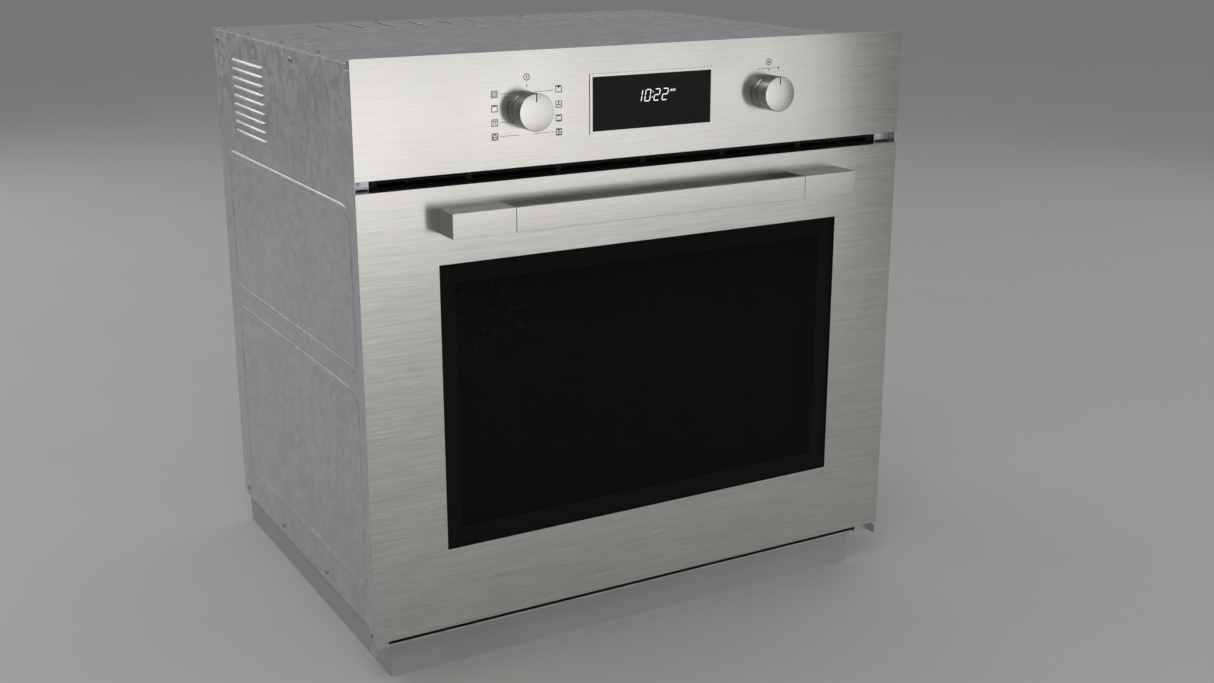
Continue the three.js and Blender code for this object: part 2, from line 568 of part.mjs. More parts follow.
function controls() {
  const { half, face } = FRONT;
  const hem = half - 3.3; // the folded edges stand inside the flange lips
  const edge = 1.8;
  const pan = join(
    box(-half, half, face, face + SKIN, PANEL.bottom, PANEL.top),
    cut(
      box(-hem - SKIN, hem + SKIN, face + 0.5, RETURN_BACK, PANEL.bottom, PANEL.top - edge),
      box(-hem, hem, face, RETURN_BACK + 5, PANEL.bottom + SKIN, PANEL.top - edge - SKIN),
    ),
  );
  const behind = 2.4; // how far the bezel covers the edge of its opening
  const display = box(
    -DISPLAY.half + behind,
    DISPLAY.half - behind,
    face - 5,
    face + 5,
    DISPLAY.bottom + behind,
    DISPLAY.top - behind,
  );
  const shaftHoles = SIDES.map(([, s]) => rod("y", face - 5, face + 5, s * KNOB.x, KNOB.z, 6, 12));
  add("control_panel", cut(pan, display, ...shaftHoles), MATERIAL.brushedSteel);

  const { border, proud } = DISPLAY;
  const [wide, low, high] = [DISPLAY.half - border, DISPLAY.bottom + border, DISPLAY.top - border];
  const bezel = extrude(
    rectangle(-DISPLAY.half, DISPLAY.half, DISPLAY.bottom, DISPLAY.top, 0.6),
    "y",
    face - proud,
    face - GAP,
    [rectangle(-wide, wide, low, high)],
  );
  add("display_bezel", bezel, MATERIAL.knobSteel);
  const pane = box(-wide + GAP, wide - GAP, face - 0.5, face + 2.5, low + GAP, high - GAP);
  add("display_glass", pane, MATERIAL.darkGlass);
  const module = join(
    box(-90, 90, face + 3, face + 12, DISPLAY.bottom - 4, DISPLAY.top + 4),
    box(-60, 60, face + 11, face + 17, DISPLAY.bottom + 10, DISPLAY.bottom + 34),
  );
  add("display_module", module, MATERIAL.board);

  const bracketHoles = SIDES.map(([, s]) => disc(s * KNOB.x, KNOB.z, 6));
  const { half: across, front: plane, bottom, top } = BRACKET;
  const bracket = join(
    extrude(rectangle(-across, across, bottom, top), "y", plane, plane + SHEET, bracketHoles),
    box(-across, across, plane, plane + 13, bottom, bottom + SHEET),
    box(-across, across, plane, plane + 10, top - 10 - SHEET, top - 10),
  );
  add("control_bracket", bracket, MATERIAL.galvanised);

  // Profiles as [radius, distance in front of the panel].
  const names = {
    left: ["function_knob", "function_knob_shaft"],
    right: ["setting_knob", "setting_plunger"],
  };
  for (const [name, s] of SIDES) {
    const x = s * KNOB.x;
    const { z, radius, collar, gap, reach } = KNOB;
    const ring = [
      [8, GAP],
      [radius, GAP],
      [radius, collar - 0.4],
      [radius - 0.4, collar],
      [8, collar],
      [8, GAP],
    ];
    add(`${name}_knob_collar`, turned(ring, x, face, z, 24), MATERIAL.knobSteel);
    const rear = collar + gap;
    const cap = [
      [3.3, rear + 1],
      [7, rear + 1],
      [7, reach - 5],
      [radius - 2, reach - 5],
      [radius - 2, rear],
      [radius, rear],
      [radius, reach - 0.6],
      [radius - 0.6, reach],
      [0, reach],
      [0, reach - 4],
      [3.3, reach - 4],
      [3.3, rear + 1],
    ];
    // The pointer is a groove across the rim of the face and down the side.
    const [crown, rim] = [face - reach, z + radius];
    const pointer = box(x - 0.7, x + 0.7, crown - 1, crown + 0.9, rim - 9.5, rim + 1);
    const notch = box(x - 0.7, x + 0.7, crown - 1, face - rear - 4, rim - 1.1, rim + 1);
    add(names[name][0], cut(turned(cap, x, face, z, 24), pointer, notch), MATERIAL.knobSteel);
    const shaft = join(
      rod("y", face - reach + 4.5, -276, x, z, 3, 12),
      rod("y", -298, -295, x, z, 4.5, 12),
    );
    add(names[name][1], shaft, MATERIAL.bareSteel);
  }
  const selector = (x) => {
    const body = join(box(x - 18, x + 18, -301.4, -272, 621, 657), rod("y", -273, -264, x, KNOB.z, 8, 16));
    return cut(body, rod("y", -305, -270, x, KNOB.z, 5, 16));
  };
  add("function_switch", selector(-KNOB.x), MATERIAL.blackPlastic);
  add("setting_encoder", selector(KNOB.x), MATERIAL.blackPlastic);
}

// ---------------------------------------------------------------- door

function door() {
  const { half, face } = FRONT;
  const hem = half - 3.3;
  const skin = cut(
    join(
      box(-half, half, face, face + SKIN, DOOR.bottom, DOOR.top),
      cut(
        box(-hem - SKIN, hem + SKIN, face + 0.5, RETURN_BACK, DOOR.bottom, DOOR.top),
        box(-hem, hem, face, RETURN_BACK + 5, DOOR.bottom + SKIN, DOOR.top - SKIN),
      ),
    ),
    box(-WINDOW.half, WINDOW.half, face - 5, face + 5, WINDOW.bottom, WINDOW.top),
  );
  add("door_panel", skin, MATERIAL.brushedSteel);

  const glass = face + SKIN + GAP;
  const { outer, middleFront: middle, innerThick } = PANES;
  add("door_outer_glass", box(-302, 302, glass, glass + outer, 100, 490), MATERIAL.darkGlass);
  add("door_middle_glass", box(-316, 316, middle, middle + 4, 62, 526), MATERIAL.clearGlass);
  add("door_inner_glass", box(-322, 322, DOOR.back - innerThick, DOOR.back, 56, 530), MATERIAL.clearGlass);

  const { half: wide, bottom: low, top: high, front: plane, plate } = DOOR_FRAME;
  const view = DOOR_OPENING;
  const opening = rectangle(-view.half, view.half, view.bottom, view.top);
  const start = plane + 0.6;
  const rails = join(
    extrude(rectangle(-wide, wide, low, high), "y", plane, plane + plate, [opening]),
    ...SIDES.map(([, s]) => mirroredBox(s, wide - 6.8, wide, start, DOOR.back, low, high)),
    box(-wide + 3, wide - 3, start, DOOR.back, high - 23, high),
    box(-324, 324, start, -290, low, low + 18),
  );
  const topSlots = range(8).map((i) => box(-290 + 75 * i, -235 + 75 * i, -304, -294, 520, 560));
  const armSlots = SIDES.map(([, s]) => {
    return mirroredBox(s, HINGE.x - 5.8, HINGE.x + 5.8, -310, -306, 20, HINGE.slotTop);
  });
  add("door_frame", cut(rails, ...topSlots, ...armSlots), MATERIAL.blackPlastic);

  const { bottom, top, reach, bar, blockInner } = HANDLE;
  const front = face - reach;
  const seam = 0.2; // half the joint line between the bar and each end block
  const barEnd = blockInner - seam;
  add("handle_bar", box(-barEnd, barEnd, front, front + bar, bottom, top), MATERIAL.brushedSteel);
  for (const [name, s] of SIDES) {
    const block = mirroredBox(s, blockInner + seam, HANDLE.half, front, face - GAP, bottom, top);
    add(`handle_${name}_block`, block, MATERIAL.brushedSteel);
  }
}

// Each hinge arm stays hooked in the case; its pin and the channel around it turn with the door.
function hinges() {
  const { x, y, z, pin, nose, armLow, armHigh, slotTop } = HINGE;
  for (const [name, s] of SIDES) {
    const across = (from, to) => ordered(s * from, s * to);
    const bore = rod("x", ...across(x - 10, x + 10), y, z, pin + GAP, 12);
    const arm = join(
      rod("x", ...across(x - 2, x + 2), y, z, nose, 12),
      mirroredBox(s, x - 2, x + 2, y - nose, y + nose, z, armHigh),
      mirroredBox(s, x - 2, x + 2, y - nose, -222, armLow, armHigh),
      mirroredBox(s, x - 5, x + 5, -255, -215, armLow - 4, armHigh + 12),
    );
    add(`${name}_hinge_arm`, cut(arm, bore), MATERIAL.bareSteel);

    const cheeks = [x - 5.5, x + 4].flatMap((side) => [
      mirroredBox(s, side, side + 1.5, -306, DOOR.back - 1, 26, 210),
      mirroredBox(s, side, side + 1.5, y, -304, z - nose, z + nose),
      rod("x", ...across(side, side + 1.5), y, z, nose, 12),
    ]);
    const channel = join(mirroredBox(s, x - 5.5, x + 5.5, -306.7, -305.2, slotTop, 210), ...cheeks);
    add(`${name}_hinge_channel`, cut(channel, bore), MATERIAL.bareSteel);
    add(`${name}_hinge_pin`, rod("x", ...across(x - 6.5, x + 6.5), y, z, pin, 12), MATERIAL.bareSteel);
  }
}

casing();
frontFrame();
cavity();
heaters();
fan();
lampAndProbe();
racks();
cooling();
electronics();
controls();
door();
hinges();

export default oven;
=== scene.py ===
"""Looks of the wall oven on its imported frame: brushed front, glass, controls, racks, heaters and casing."""

import json
import math

import bmesh
import bpy
from mathutils import Matrix, Vector


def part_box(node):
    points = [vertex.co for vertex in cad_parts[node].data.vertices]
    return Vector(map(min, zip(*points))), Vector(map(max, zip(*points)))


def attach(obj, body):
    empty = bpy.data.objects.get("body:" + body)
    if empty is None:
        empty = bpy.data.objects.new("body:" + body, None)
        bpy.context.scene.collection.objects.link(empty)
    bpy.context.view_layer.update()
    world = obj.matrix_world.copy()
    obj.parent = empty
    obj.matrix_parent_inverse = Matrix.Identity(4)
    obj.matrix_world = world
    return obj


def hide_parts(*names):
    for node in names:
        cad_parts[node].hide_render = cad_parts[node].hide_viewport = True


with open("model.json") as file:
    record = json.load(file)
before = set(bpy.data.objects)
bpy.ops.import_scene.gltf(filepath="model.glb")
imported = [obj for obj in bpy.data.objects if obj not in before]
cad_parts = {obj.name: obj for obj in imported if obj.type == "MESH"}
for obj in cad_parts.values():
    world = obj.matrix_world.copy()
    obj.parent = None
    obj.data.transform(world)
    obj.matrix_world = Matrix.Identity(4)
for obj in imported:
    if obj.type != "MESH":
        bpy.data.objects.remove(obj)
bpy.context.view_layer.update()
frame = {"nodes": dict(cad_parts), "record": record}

NODES = frame["nodes"]
MM = 0.001
SIDES = (("left", -1), ("right", 1))


def span(node):
    """A CAD node's ranges along X, Y and Z, in millimetres."""
    low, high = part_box(node)
    return [(a / MM, b / MM) for a, b in zip(low, high)]


KNOB_X, _, KNOB_Z = (round((a + b) / 2, 1) for a, b in span("setting_knob"))
WALL_X = round(span("top_cover")[0][1], 1)  # outer faces of the side walls

# ---------------------------------------------------------------- materials


class Shade:
    """One Principled material, built node by node in the object's own coordinates (metres)."""

    def __init__(self, name, **uniform):
        self.material = bpy.data.materials.new(name)
        self.material.use_nodes = True
        tree = self.material.node_tree
        self.nodes, self.links = tree.nodes, tree.links
        self.shader = self.nodes["Principled BSDF"]
        self.place = self.nodes.new("ShaderNodeTexCoord").outputs["Object"]
        self.normal = None
        for socket, value in uniform.items():
            self.shader.inputs[socket.replace("_", " ")].default_value = value

    def put(self, socket, value):
        """Links a node's output to a socket, or sets a plain value on it."""
        if isinstance(value, bpy.types.NodeSocket):
            self.links.new(value, socket)
        else:
            socket.default_value = value

    def node(self, kind, inputs, output=0, **settings):
        made = self.nodes.new("ShaderNode" + kind)
        for name, value in settings.items():
            setattr(made, name, value)
        for name, value in inputs.items():
            self.put(made.inputs[name], value)
        return made.outputs[output]

    def stretched(self, x, y, z):
        """The object's coordinates scaled along each axis."""
        return self.node("Mapping", {"Vector": self.place, "Scale": (x, y, z)})

    def noise(self, scale, detail=3.0, roughness=0.55, vector=None):
        inputs = {"Vector": vector or self.place, "Scale": scale, "Detail": detail, "Roughness": roughness}
        return self.node("TexNoise", inputs)

    def cells(self, scale, output="Distance"):
        return self.node("TexVoronoi", {"Vector": self.place, "Scale": scale}, output)

    def waves(self, scale, vector):
        return self.node("TexWave", {"Vector": vector, "Scale": scale}, bands_direction="DIAGONAL")

    def fit(self, value, low, high, start=0.3, end=0.7):
        """Brings a value between start and end to between low and high."""
        inputs = {"Value": value, "From Min": start, "From Max": end, "To Min": low, "To Max": high}
        return self.node("MapRange", inputs)

    def math(self, operation, a, b=0.0):
        made = self.nodes.new("ShaderNodeMath")
        made.operation = operation
        for socket, value in zip(made.inputs, (a, b)):
            self.put(socket, value)
        return made.outputs[0]

    def blend(self, a, b, share):
        """Adds up two fields; share is the first one's part of the whole."""
        return self.math("ADD", self.math("MULTIPLY", a, share), self.math("MULTIPLY", b, 1.0 - share))

    def ramp(self, value, dark, light, start=0.3, end=0.7):
        made = self.nodes.new("ShaderNodeValToRGB")
        self.links.new(value, made.inputs["Fac"])
        for element, position, color in zip(made.color_ramp.elements, (start, end), (dark, light)):
            element.position = position
            element.color = (*color, 1.0)
        return made.outputs["Color"]

    def mix(self, factor, a, b):
        made = self.nodes.new("ShaderNodeMix")
        made.data_type = "RGBA"
        self.put(made.inputs[0], factor)
        for socket, value in ((made.inputs[6], a), (made.inputs[7], b)):
            self.put(socket, (*value, 1.0) if isinstance(value, tuple) else value)
        return made.outputs[2]

    def bump(self, height, depth, strength):
        """Adds relief of a depth in millimetres on top of what is there."""
        inputs = {"Height": height, "Distance": depth * MM, "Strength": strength}
        if self.normal:
            inputs["Normal"] = self.normal
        self.normal = self.node("Bump", inputs)

    def done(self, color, roughness):
        self.links.new(color, self.shader.inputs["Base Color"])
        self.links.new(roughness, self.shader.inputs["Roughness"])
        if self.normal:
            self.links.new(self.normal, self.shader.inputs["Normal"])
        return self.material


def brushed(name, dark, light, smooth, rough, anisotropy):
    """Steel brushed along X: long fine streaks, faint smudges, highlights drawn out across the grain."""
    s = Shade(name, Metallic=1.0, Anisotropic=anisotropy, Anisotropic_Rotation=0.25)
    hair = s.noise(1.0, 3.0, 0.6, s.stretched(34, 2300, 2300))
    streak = s.noise(1.0, 2.0, 0.5, s.stretched(12, 560, 560))
    smudge = s.noise(5.0, 2.0)
    grain = s.blend(hair, streak, 0.67)
    s.bump(grain, 0.0012, 0.5)
    along_x = s.node("CombineXYZ", {"X": 1.0, "Y": 0.021, "Z": 0.013})
    s.links.new(along_x, s.shader.inputs["Tangent"])
    roughness = s.math("ADD", s.fit(grain, smooth, rough), s.fit(smudge, -0.015, 0.015))
    return s.done(s.ramp(grain, dark, light, 0.32, 0.68), roughness)


def turned_steel(name):
    """Steel turned on a lathe: rings round the knob's own axis, which runs along Y."""
    s = Shade(name, Metallic=1.0)
    x, y, z = (s.node("SeparateXYZ", {"Vector": s.place}, i) for i in range(3))
    aside = s.math("SUBTRACT", s.math("ABSOLUTE", x), KNOB_X * MM)
    above = s.math("SUBTRACT", z, KNOB_Z * MM)
    squares = s.math("ADD", s.math("MULTIPLY", aside, aside), s.math("MULTIPLY", above, above))
    turned = s.node("CombineXYZ", {"X": s.math("SQRT", squares), "Y": y})
    fine = s.noise(3600.0, 3.0, 0.6, turned)
    broad = s.noise(700.0, 2.0, 0.5, turned)
    rings = s.blend(fine, broad, 0.6)
    s.bump(rings, 0.0015, 0.5)
    color = s.ramp(rings, (0.42, 0.412, 0.398), (0.53, 0.522, 0.506))
    return s.done(color, s.fit(rings, 0.17, 0.24))


def spangled():
    """Zinc coating: crystal patches of different shade and gloss, with handling marks."""
    s = Shade("zinc_coat", Metallic=1.0)
    patch = s.node("SeparateColor", {"Color": s.cells(85.0, output="Color")})
    grain = s.noise(900.0, 4.0)
    marks = s.noise(9.0, 5.0, 0.65)
    shade = s.blend(patch, marks, 0.45)
    s.bump(grain, 0.01, 0.3)
    color = s.ramp(shade, (0.52, 0.535, 0.55), (0.66, 0.675, 0.685), 0.2, 0.8)
    return s.done(color, s.math("ADD", s.fit(patch, 0.38, 0.47, 0.0, 1.0), s.fit(grain, -0.04, 0.04)))


def enamel():
    """Fired enamel: deep blue-black, glossy and slightly wavy, scattered with pale specks."""
    s = Shade("speckled_enamel", Coat_Weight=0.5, Coat_Roughness=0.08)
    dots = s.cells(620.0)
    chance = s.node("SeparateColor", {"Color": s.cells(620.0, output="Color")})
    speck = s.math("MULTIPLY", s.math("LESS_THAN", dots, 0.2), s.math("GREATER_THAN", chance, 0.78))
    waver = s.noise(60.0, 2.0)
    s.bump(waver, 0.12, 0.35)
    base = s.ramp(s.noise(7.0), (0.014, 0.016, 0.021), (0.022, 0.025, 0.032))
    return s.done(s.mix(speck, base, (0.28, 0.30, 0.33)), s.fit(waver, 0.16, 0.26))


def blanket():
    """Mineral wool: matted pale fibres."""
    s = Shade("mineral_wool_fibre", Sheen_Weight=0.3)
    fibre = s.noise(1.0, 6.0, 0.75, s.stretched(260, 90, 420))
    clump = s.noise(38.0, 5.0, 0.7)
    both = s.math("MULTIPLY", s.math("ADD", fibre, clump), 0.5)
    s.bump(both, 2.5, 0.8)
    color = s.ramp(both, (0.33, 0.27, 0.14), (0.70, 0.63, 0.43), 0.3, 0.72)
    return s.done(color, s.fit(fibre, 0.85, 0.98))


def braid():
    """Glass-fibre braid of the door seal: crossing strands."""
    s = Shade("seal_braid", Sheen_Weight=0.2)
    over = s.waves(210.0, s.place)
    under = s.waves(210.0, s.stretched(-1, 1, 1))
    weave = s.math("MAXIMUM", over, under)
    s.bump(weave, 0.35, 0.8)
    color = s.ramp(weave, (0.05, 0.048, 0.045), (0.16, 0.155, 0.15), 0.1, 0.9)
    return s.done(color, s.fit(weave, 0.7, 0.9))


def scaled_metal(name, dark, light, smooth, rough):
    """Plain metal with a fine grain, light scratches and patches of heat or handling tint."""
    s = Shade(name, Metallic=1.0)
    patch = s.noise(26.0, 4.0, 0.6)
    fine = s.noise(700.0, 3.0, 0.6)
    scratch = s.noise(1.0, 2.0, 0.5, s.stretched(90, 1800, 240))
    s.bump(fine, 0.008, 0.35)
    s.bump(scratch, 0.006, 0.25)
    roughness = s.math("ADD", s.fit(patch, smooth, rough), s.fit(fine, -0.03, 0.03))
    return s.done(s.ramp(s.blend(patch, scratch, 0.6), dark, light), roughness)


def moulded(name, dark, light, smooth, rough, **uniform):
    """Moulded plastic, rubber or ceramic: a fine leather-like grain and a slow change of shade."""
    s = Shade(name, **uniform)
    fine = s.noise(1400.0, 3.0, 0.6)
    slow = s.noise(18.0, 3.0)
    s.bump(fine, 0.03, 0.4)
    return s.done(s.ramp(slow, dark, light), s.fit(fine, smooth, rough))


def board():
    """Varnished circuit board: copper tracks and pads under green lacquer."""
    s = Shade("lacquered_board", Coat_Weight=0.4, Coat_Roughness=0.15)
    tracks = s.node("TexBrick", {"Vector": s.place, "Scale": 90.0, "Mortar Size": 0.02}, "Fac")
    pads = s.math("LESS_THAN", s.cells(160.0), 0.22)
    copper = s.math("MAXIMUM", tracks, pads)
    s.bump(copper, 0.04, 0.5)
    green = s.ramp(s.noise(40.0), (0.010, 0.065, 0.030), (0.016, 0.10, 0.045))
    return s.done(s.mix(copper, green, (0.10, 0.26, 0.12)), s.fit(s.noise(300.0), 0.25, 0.4))


def glass(name, tint, alpha, ior, haze):
    """A pane seen through: its tint is partly clear, its face has the faintest waviness and dust."""
    s = Shade(name, Alpha=alpha, IOR=ior)
    dust = s.noise(240.0, 4.0, 0.7)
    s.bump(s.noise(2.5, 1.0), 0.05, 0.3)
    color = s.ramp(dust, tint, tuple(1.25 * c + 0.002 for c in tint), 0.35, 0.75)
    return s.done(color, s.fit(dust, haze * 0.6, haze))


def printed(name, dark, light, rough, **uniform):
    """Screen-printed ink: a dense film with a very fine mesh in it."""
    s = Shade(name, **uniform)
    mesh = s.noise(2600.0, 2.0)
    s.bump(mesh, 0.004, 0.3)
    return s.done(s.ramp(mesh, dark, light), s.fit(mesh, rough - 0.04, rough + 0.04))


def lit(name, color, strength):
    """Glowing display segment, a little uneven across its face."""
    s = Shade(name, Emission_Strength=strength)
    uneven = s.noise(700.0, 2.0)
    glow = s.ramp(uneven, tuple(0.85 * c for c in color), color, 0.2, 0.8)
    s.links.new(glow, s.shader.inputs["Emission Color"])
    return s.done(glow, s.fit(uneven, 0.4, 0.5))


LOOK = {
    "brushed_steel": brushed("brushed_front", (0.5, 0.49, 0.472), (0.72, 0.71, 0.683), 0.19, 0.27, 0.8),
    "knob_steel": turned_steel("turned_knob"),
    "galvanised_steel": spangled(),
    "dark_enamel": enamel(),
    "mineral_wool": blanket(),
    "gasket": braid(),
    "heater_steel": scaled_metal("heater_sheath", (0.075, 0.065, 0.065), (0.19, 0.16, 0.145), 0.38, 0.5),
    "bare_steel": scaled_metal("pressed_steel", (0.33, 0.33, 0.335), (0.5, 0.495, 0.485), 0.26, 0.4),
    "chromed_wire": scaled_metal("chromed_rod", (0.56, 0.56, 0.565), (0.72, 0.72, 0.72), 0.09, 0.2),
    "ceramic": moulded("steatite", (0.62, 0.58, 0.5), (0.76, 0.73, 0.66), 0.5, 0.65),
    "clear_glass": glass("clear_pane", (0.024, 0.03, 0.028), 0.12, 1.45, 0.03),
    "black_glass": glass("black_pane", (0.003, 0.003, 0.0034), 0.43, 1.25, 0.05),
    "black_plastic": moulded(
        "black_moulding", (0.004, 0.004, 0.0043), (0.009, 0.009, 0.0095), 0.48, 0.6, IOR=1.33),
    "white_plastic": moulded("white_moulding", (0.6, 0.58, 0.53), (0.72, 0.7, 0.65), 0.35, 0.48),
    "circuit_board": board(),
    "aluminium": scaled_metal("rolled_aluminium", (0.58, 0.585, 0.59), (0.72, 0.725, 0.73), 0.24, 0.38),
}
EXTRA = {
    "handle": brushed("satin_handle", (0.5, 0.49, 0.472), (0.62, 0.61, 0.587), 0.15, 0.21, 0.65),
    "ink": printed("panel_ink", (0.018, 0.018, 0.018), (0.035, 0.035, 0.034), 0.5),
    "fine_ink": printed("panel_fine_ink", (0.05, 0.049, 0.048), (0.08, 0.078, 0.076), 0.5),
    "border": printed("window_border", (0.03, 0.03, 0.0305), (0.04, 0.04, 0.0405), 0.09, IOR=1.25),
    "screen": printed("screen_pane", (0.004, 0.004, 0.0043), (0.006, 0.006, 0.0064), 0.08, IOR=1.17),
    "digits": lit("lit_segments", (0.92, 0.96, 1.0), 0.82),
    # Dark rubber of the door stops, also used as painted shade in the knob collars' core.
    "rubber": moulded("bumper_rubber_and_painted_shade", (0.010, 0.010, 0.010), (0.022, 0.022, 0.021), 0.6, 0.75),
    # Painted shade, laid as a strip in the knobs' pointer grooves.
    "groove": moulded("groove_shadow", (0.05, 0.048, 0.046), (0.09, 0.087, 0.083), 0.45, 0.6),
}

SLOT_OF = {entry["node"]: entry["material_slot"] for entry in frame["record"]["subparts"]}
EDGE = {  # radius of the sharp edges, in millimetres
    "brushed_steel": 0.35,
    "galvanised_steel": 0.3,
    "dark_enamel": 0.35,
    "black_plastic": 0.4,
    "white_plastic": 0.6,
    "clear_glass": 0.5,
    "knob_steel": 0.25,
    "bare_steel": 0.35,
}


def soften(made, width):
    """Rounds an object's sharp edges by a width in millimetres."""
    bevel = made.modifiers.new("edge", "BEVEL")
    bevel.width = width * MM
    bevel.segments = 2
    bevel.limit_method = "ANGLE"
    bevel.angle_limit = math.radians(40)
    bevel.harden_normals = True


def refine(node):
    """Gives a CAD node its material, and an edge radius if its kind of material has one."""
    part = NODES[node]
    part.data.materials.clear()
    part.data.materials.append(LOOK[SLOT_OF[node]])
    if SLOT_OF[node] in EDGE:
        weld = part.modifiers.new("weld", "WELD")
        weld.merge_threshold = 0.00001
        soften(part, EDGE[SLOT_OF[node]])


for name in NODES:
    refine(name)


# ---------------------------------------------------------------- shapes, in millimetres

QUARTER = [math.radians(15 * k) for k in range(7)]  # angles through a quarter turn


def around(count):
    """Evenly spaced angles, once round."""
    return [2 * math.pi * i / count for i in range(count)]


def mirrored(points, s):
    """An outline brought to the side s, which is -1 or 1, with its points still anticlockwise."""
    return [(s * u, v) for u, v in points][::s]


def rounded_path(width0, width1, height0, height1, radius, steps=6):
    """Points round a rectangle with round corners, anticlockwise from its lower right corner."""
    corners = [(width1, height0, -90), (width1, height1, 0), (width0, height1, 90), (width0, height0, 180)]
    points = []
    for (u, v, start), (in_u, in_v) in zip(corners, [(-1, 1), (-1, -1), (1, -1), (1, 1)]):
        centre_u, centre_v = u + in_u * radius, v + in_v * radius
        for i in range(steps + 1):
            angle = math.radians(start + 90 * i / steps)
            points.append((centre_u + radius * math.cos(angle), centre_v + radius * math.sin(angle)))
    return points


def bent_path(points, radius, steps=6, closed=False):
    """A line through 3-D points whose corners are rounded off."""
    points = [Vector(p) for p in points]
    count = len(points)
    path = []
    for i, corner in enumerate(points):
        if not closed and i in (0, count - 1):
            path.append(corner)
            continue
        to_last = (points[i - 1] - corner).normalized()
        to_next = (points[(i + 1) % count] - corner).normalized()
        turn = math.pi - to_last.angle(to_next)
        if turn < 0.01:
            path.append(corner)
            continue
        reach = radius * math.tan(turn / 2)
        middle = (to_last + to_next).normalized()
        centre = corner + middle * (radius / math.cos(turn / 2))
        start = corner + to_last * reach - centre
        axis = to_next.cross(to_last).normalized()
        path.extend(centre + Matrix.Rotation(-turn * k / steps, 3, axis) @ start for k in range(steps + 1))
    return path


class Form:
    """A mesh put together from simple closed shapes; coordinates are millimetres in the row frame."""

    AXES = {"x": (1, 2, 0), "y": (0, 2, 1), "z": (0, 1, 2)}

    def __init__(self):
        self.bm = bmesh.new()

    def vertex(self, axis, u, v, along):
        place = [0.0, 0.0, 0.0]
        for index, value in zip(self.AXES[axis], (u, v, along)):
            place[index] = value * MM
        return self.bm.verts.new(place)

    def loop(self, axis, points, along):
        return [self.vertex(axis, u, v, along) for u, v in points]

    def skin(self, loops, closed=False):
        """Joins loops of the same number of vertices; the two ends are capped, or joined when closed."""
        pairs = list(zip(loops, loops[1:]))
        if closed:
            pairs.append((loops[-1], loops[0]))
        for a, b in pairs:
            for i in range(len(a)):
                k = (i + 1) % len(a)
                self.bm.faces.new((a[i], a[k], b[k], b[i]))
        if not closed:
            self.bm.faces.new(loops[0][::-1])
            self.bm.faces.new(loops[-1])

    def prism(self, points, axis, start, end):
        self.skin([self.loop(axis, points, along) for along in (start, end)])

    def box(self, x0, x1, y0, y1, z0, z1):
        self.prism([(x0, z0), (x1, z0), (x1, z1), (x0, z1)], "y", y0, y1)

    def lathe(self, profile, axis, u, v, sides, closed=False):
        """Turns (radius, place along the axis) points about a line through (u, v)."""
        loops = []
        for radius, along in profile:
            points = [(u + radius * math.cos(a), v + radius * math.sin(a)) for a in around(sides)]
            loops.append(self.loop(axis, points, along))
        self.skin(loops, closed)

    def ring(self, outer, inner, axis, start, end):
        """A frame: the band between two outlines with the same number of points."""
        steps = ((outer, start), (outer, end), (inner, end), (inner, start))
        self.skin([self.loop(axis, points, along) for points, along in steps], closed=True)

    def tube(self, path, radius, sides=12, closed=False):
        """A round wire along a path."""
        path = [Vector(p) for p in path]
        count = len(path)
        loops = []
        side = None
        for i, point in enumerate(path):
            before = path[i - 1] if closed or i else point
            after = path[(i + 1) % count] if closed or i < count - 1 else point
            along = (after - before).normalized()
            across = along.orthogonal() if side is None else side - along * side.dot(along)
            side = across.normalized()
            other = along.cross(side)
            loops.append([
                self.bm.verts.new(MM * (point + radius * (math.cos(a) * side + math.sin(a) * other)))
                for a in around(sides)
            ])
        self.skin(loops, closed)

    def mesh(self, name):
        """Ends the form and returns it as a mesh."""
        bmesh.ops.recalc_face_normals(self.bm, faces=self.bm.faces)
        made = bpy.data.meshes.new(name)
        self.bm.to_mesh(made)
        self.bm.free()
        return made


def piece(name, form, body, look, replaces=(), slot=None, smooth=35.0, edge=0.0):
    """Adds a finished mesh, riding on a CAD body; its slot is worked out but not used."""
    mesh = form.mesh(name) if isinstance(form, Form) else form
    made = bpy.data.objects.new(name, mesh)
    bpy.context.scene.collection.objects.link(made)
    mesh.materials.append(LOOK.get(look) or EXTRA[look])
    mesh.polygons.foreach_set("use_smooth", [True] * len(mesh.polygons))
    mesh.set_sharp_from_angle(angle=math.radians(smooth))
    if edge:
        soften(made, edge)
    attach(made, body)
    slot = look if look in LOOK else slot
    if replaces:
        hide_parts(*replaces)


def carved(form, tool):
    """The form less the tool, as a new mesh."""
    objects = [bpy.data.objects.new("carving", f.mesh("carving")) for f in (form, tool)]
    for o in objects:
        bpy.context.scene.collection.objects.link(o)
    knife = objects[0].modifiers.new("carve", "BOOLEAN")
    knife.operation, knife.solver, knife.object = "DIFFERENCE", "EXACT", objects[1]
    depsgraph = bpy.context.evaluated_depsgraph_get()
    mesh = bpy.data.meshes.new_from_object(objects[0].evaluated_get(depsgraph))
    for o in objects:
        bpy.data.objects.remove(o)
    return mesh


# ---------------------------------------------------------------- control panel

FACE = span("control_panel")[1][0]
PRINT = 0.12  # how far the ink stands off the steel
BOLD, THIN = 0.95, 0.5  # widths of the printed lines


def stroke(form, x0, z0, x1, z1, width):
    """A straight printed line."""
    a, b = Vector((x0, z0)), Vector((x1, z1))
    across = (b - a).orthogonal().normalized() * width / 2
    form.prism([a + across, a - across, b - across, b + across], "y", FACE - PRINT, FACE)


def dot(form, x, z, radius):
    form.lathe([(radius, FACE - PRINT), (radius, FACE)], "y", x, z, 24)


def circle(form, x, z, radius, width):
    outer, inner = (
        [(x + r * math.cos(a), z + r * math.sin(a)) for a in around(40)]
        for r in (radius, radius - width)
    )
    form.ring(outer, inner, "y", FACE - PRINT, FACE)


def square(form, x, z, half, width):
    outer, inner = (rounded_path(x - h, x + h, z - h, z + h, 0.3, 2) for h in (half, half - width))
    form.ring(outer, inner, "y", FACE - PRINT, FACE)


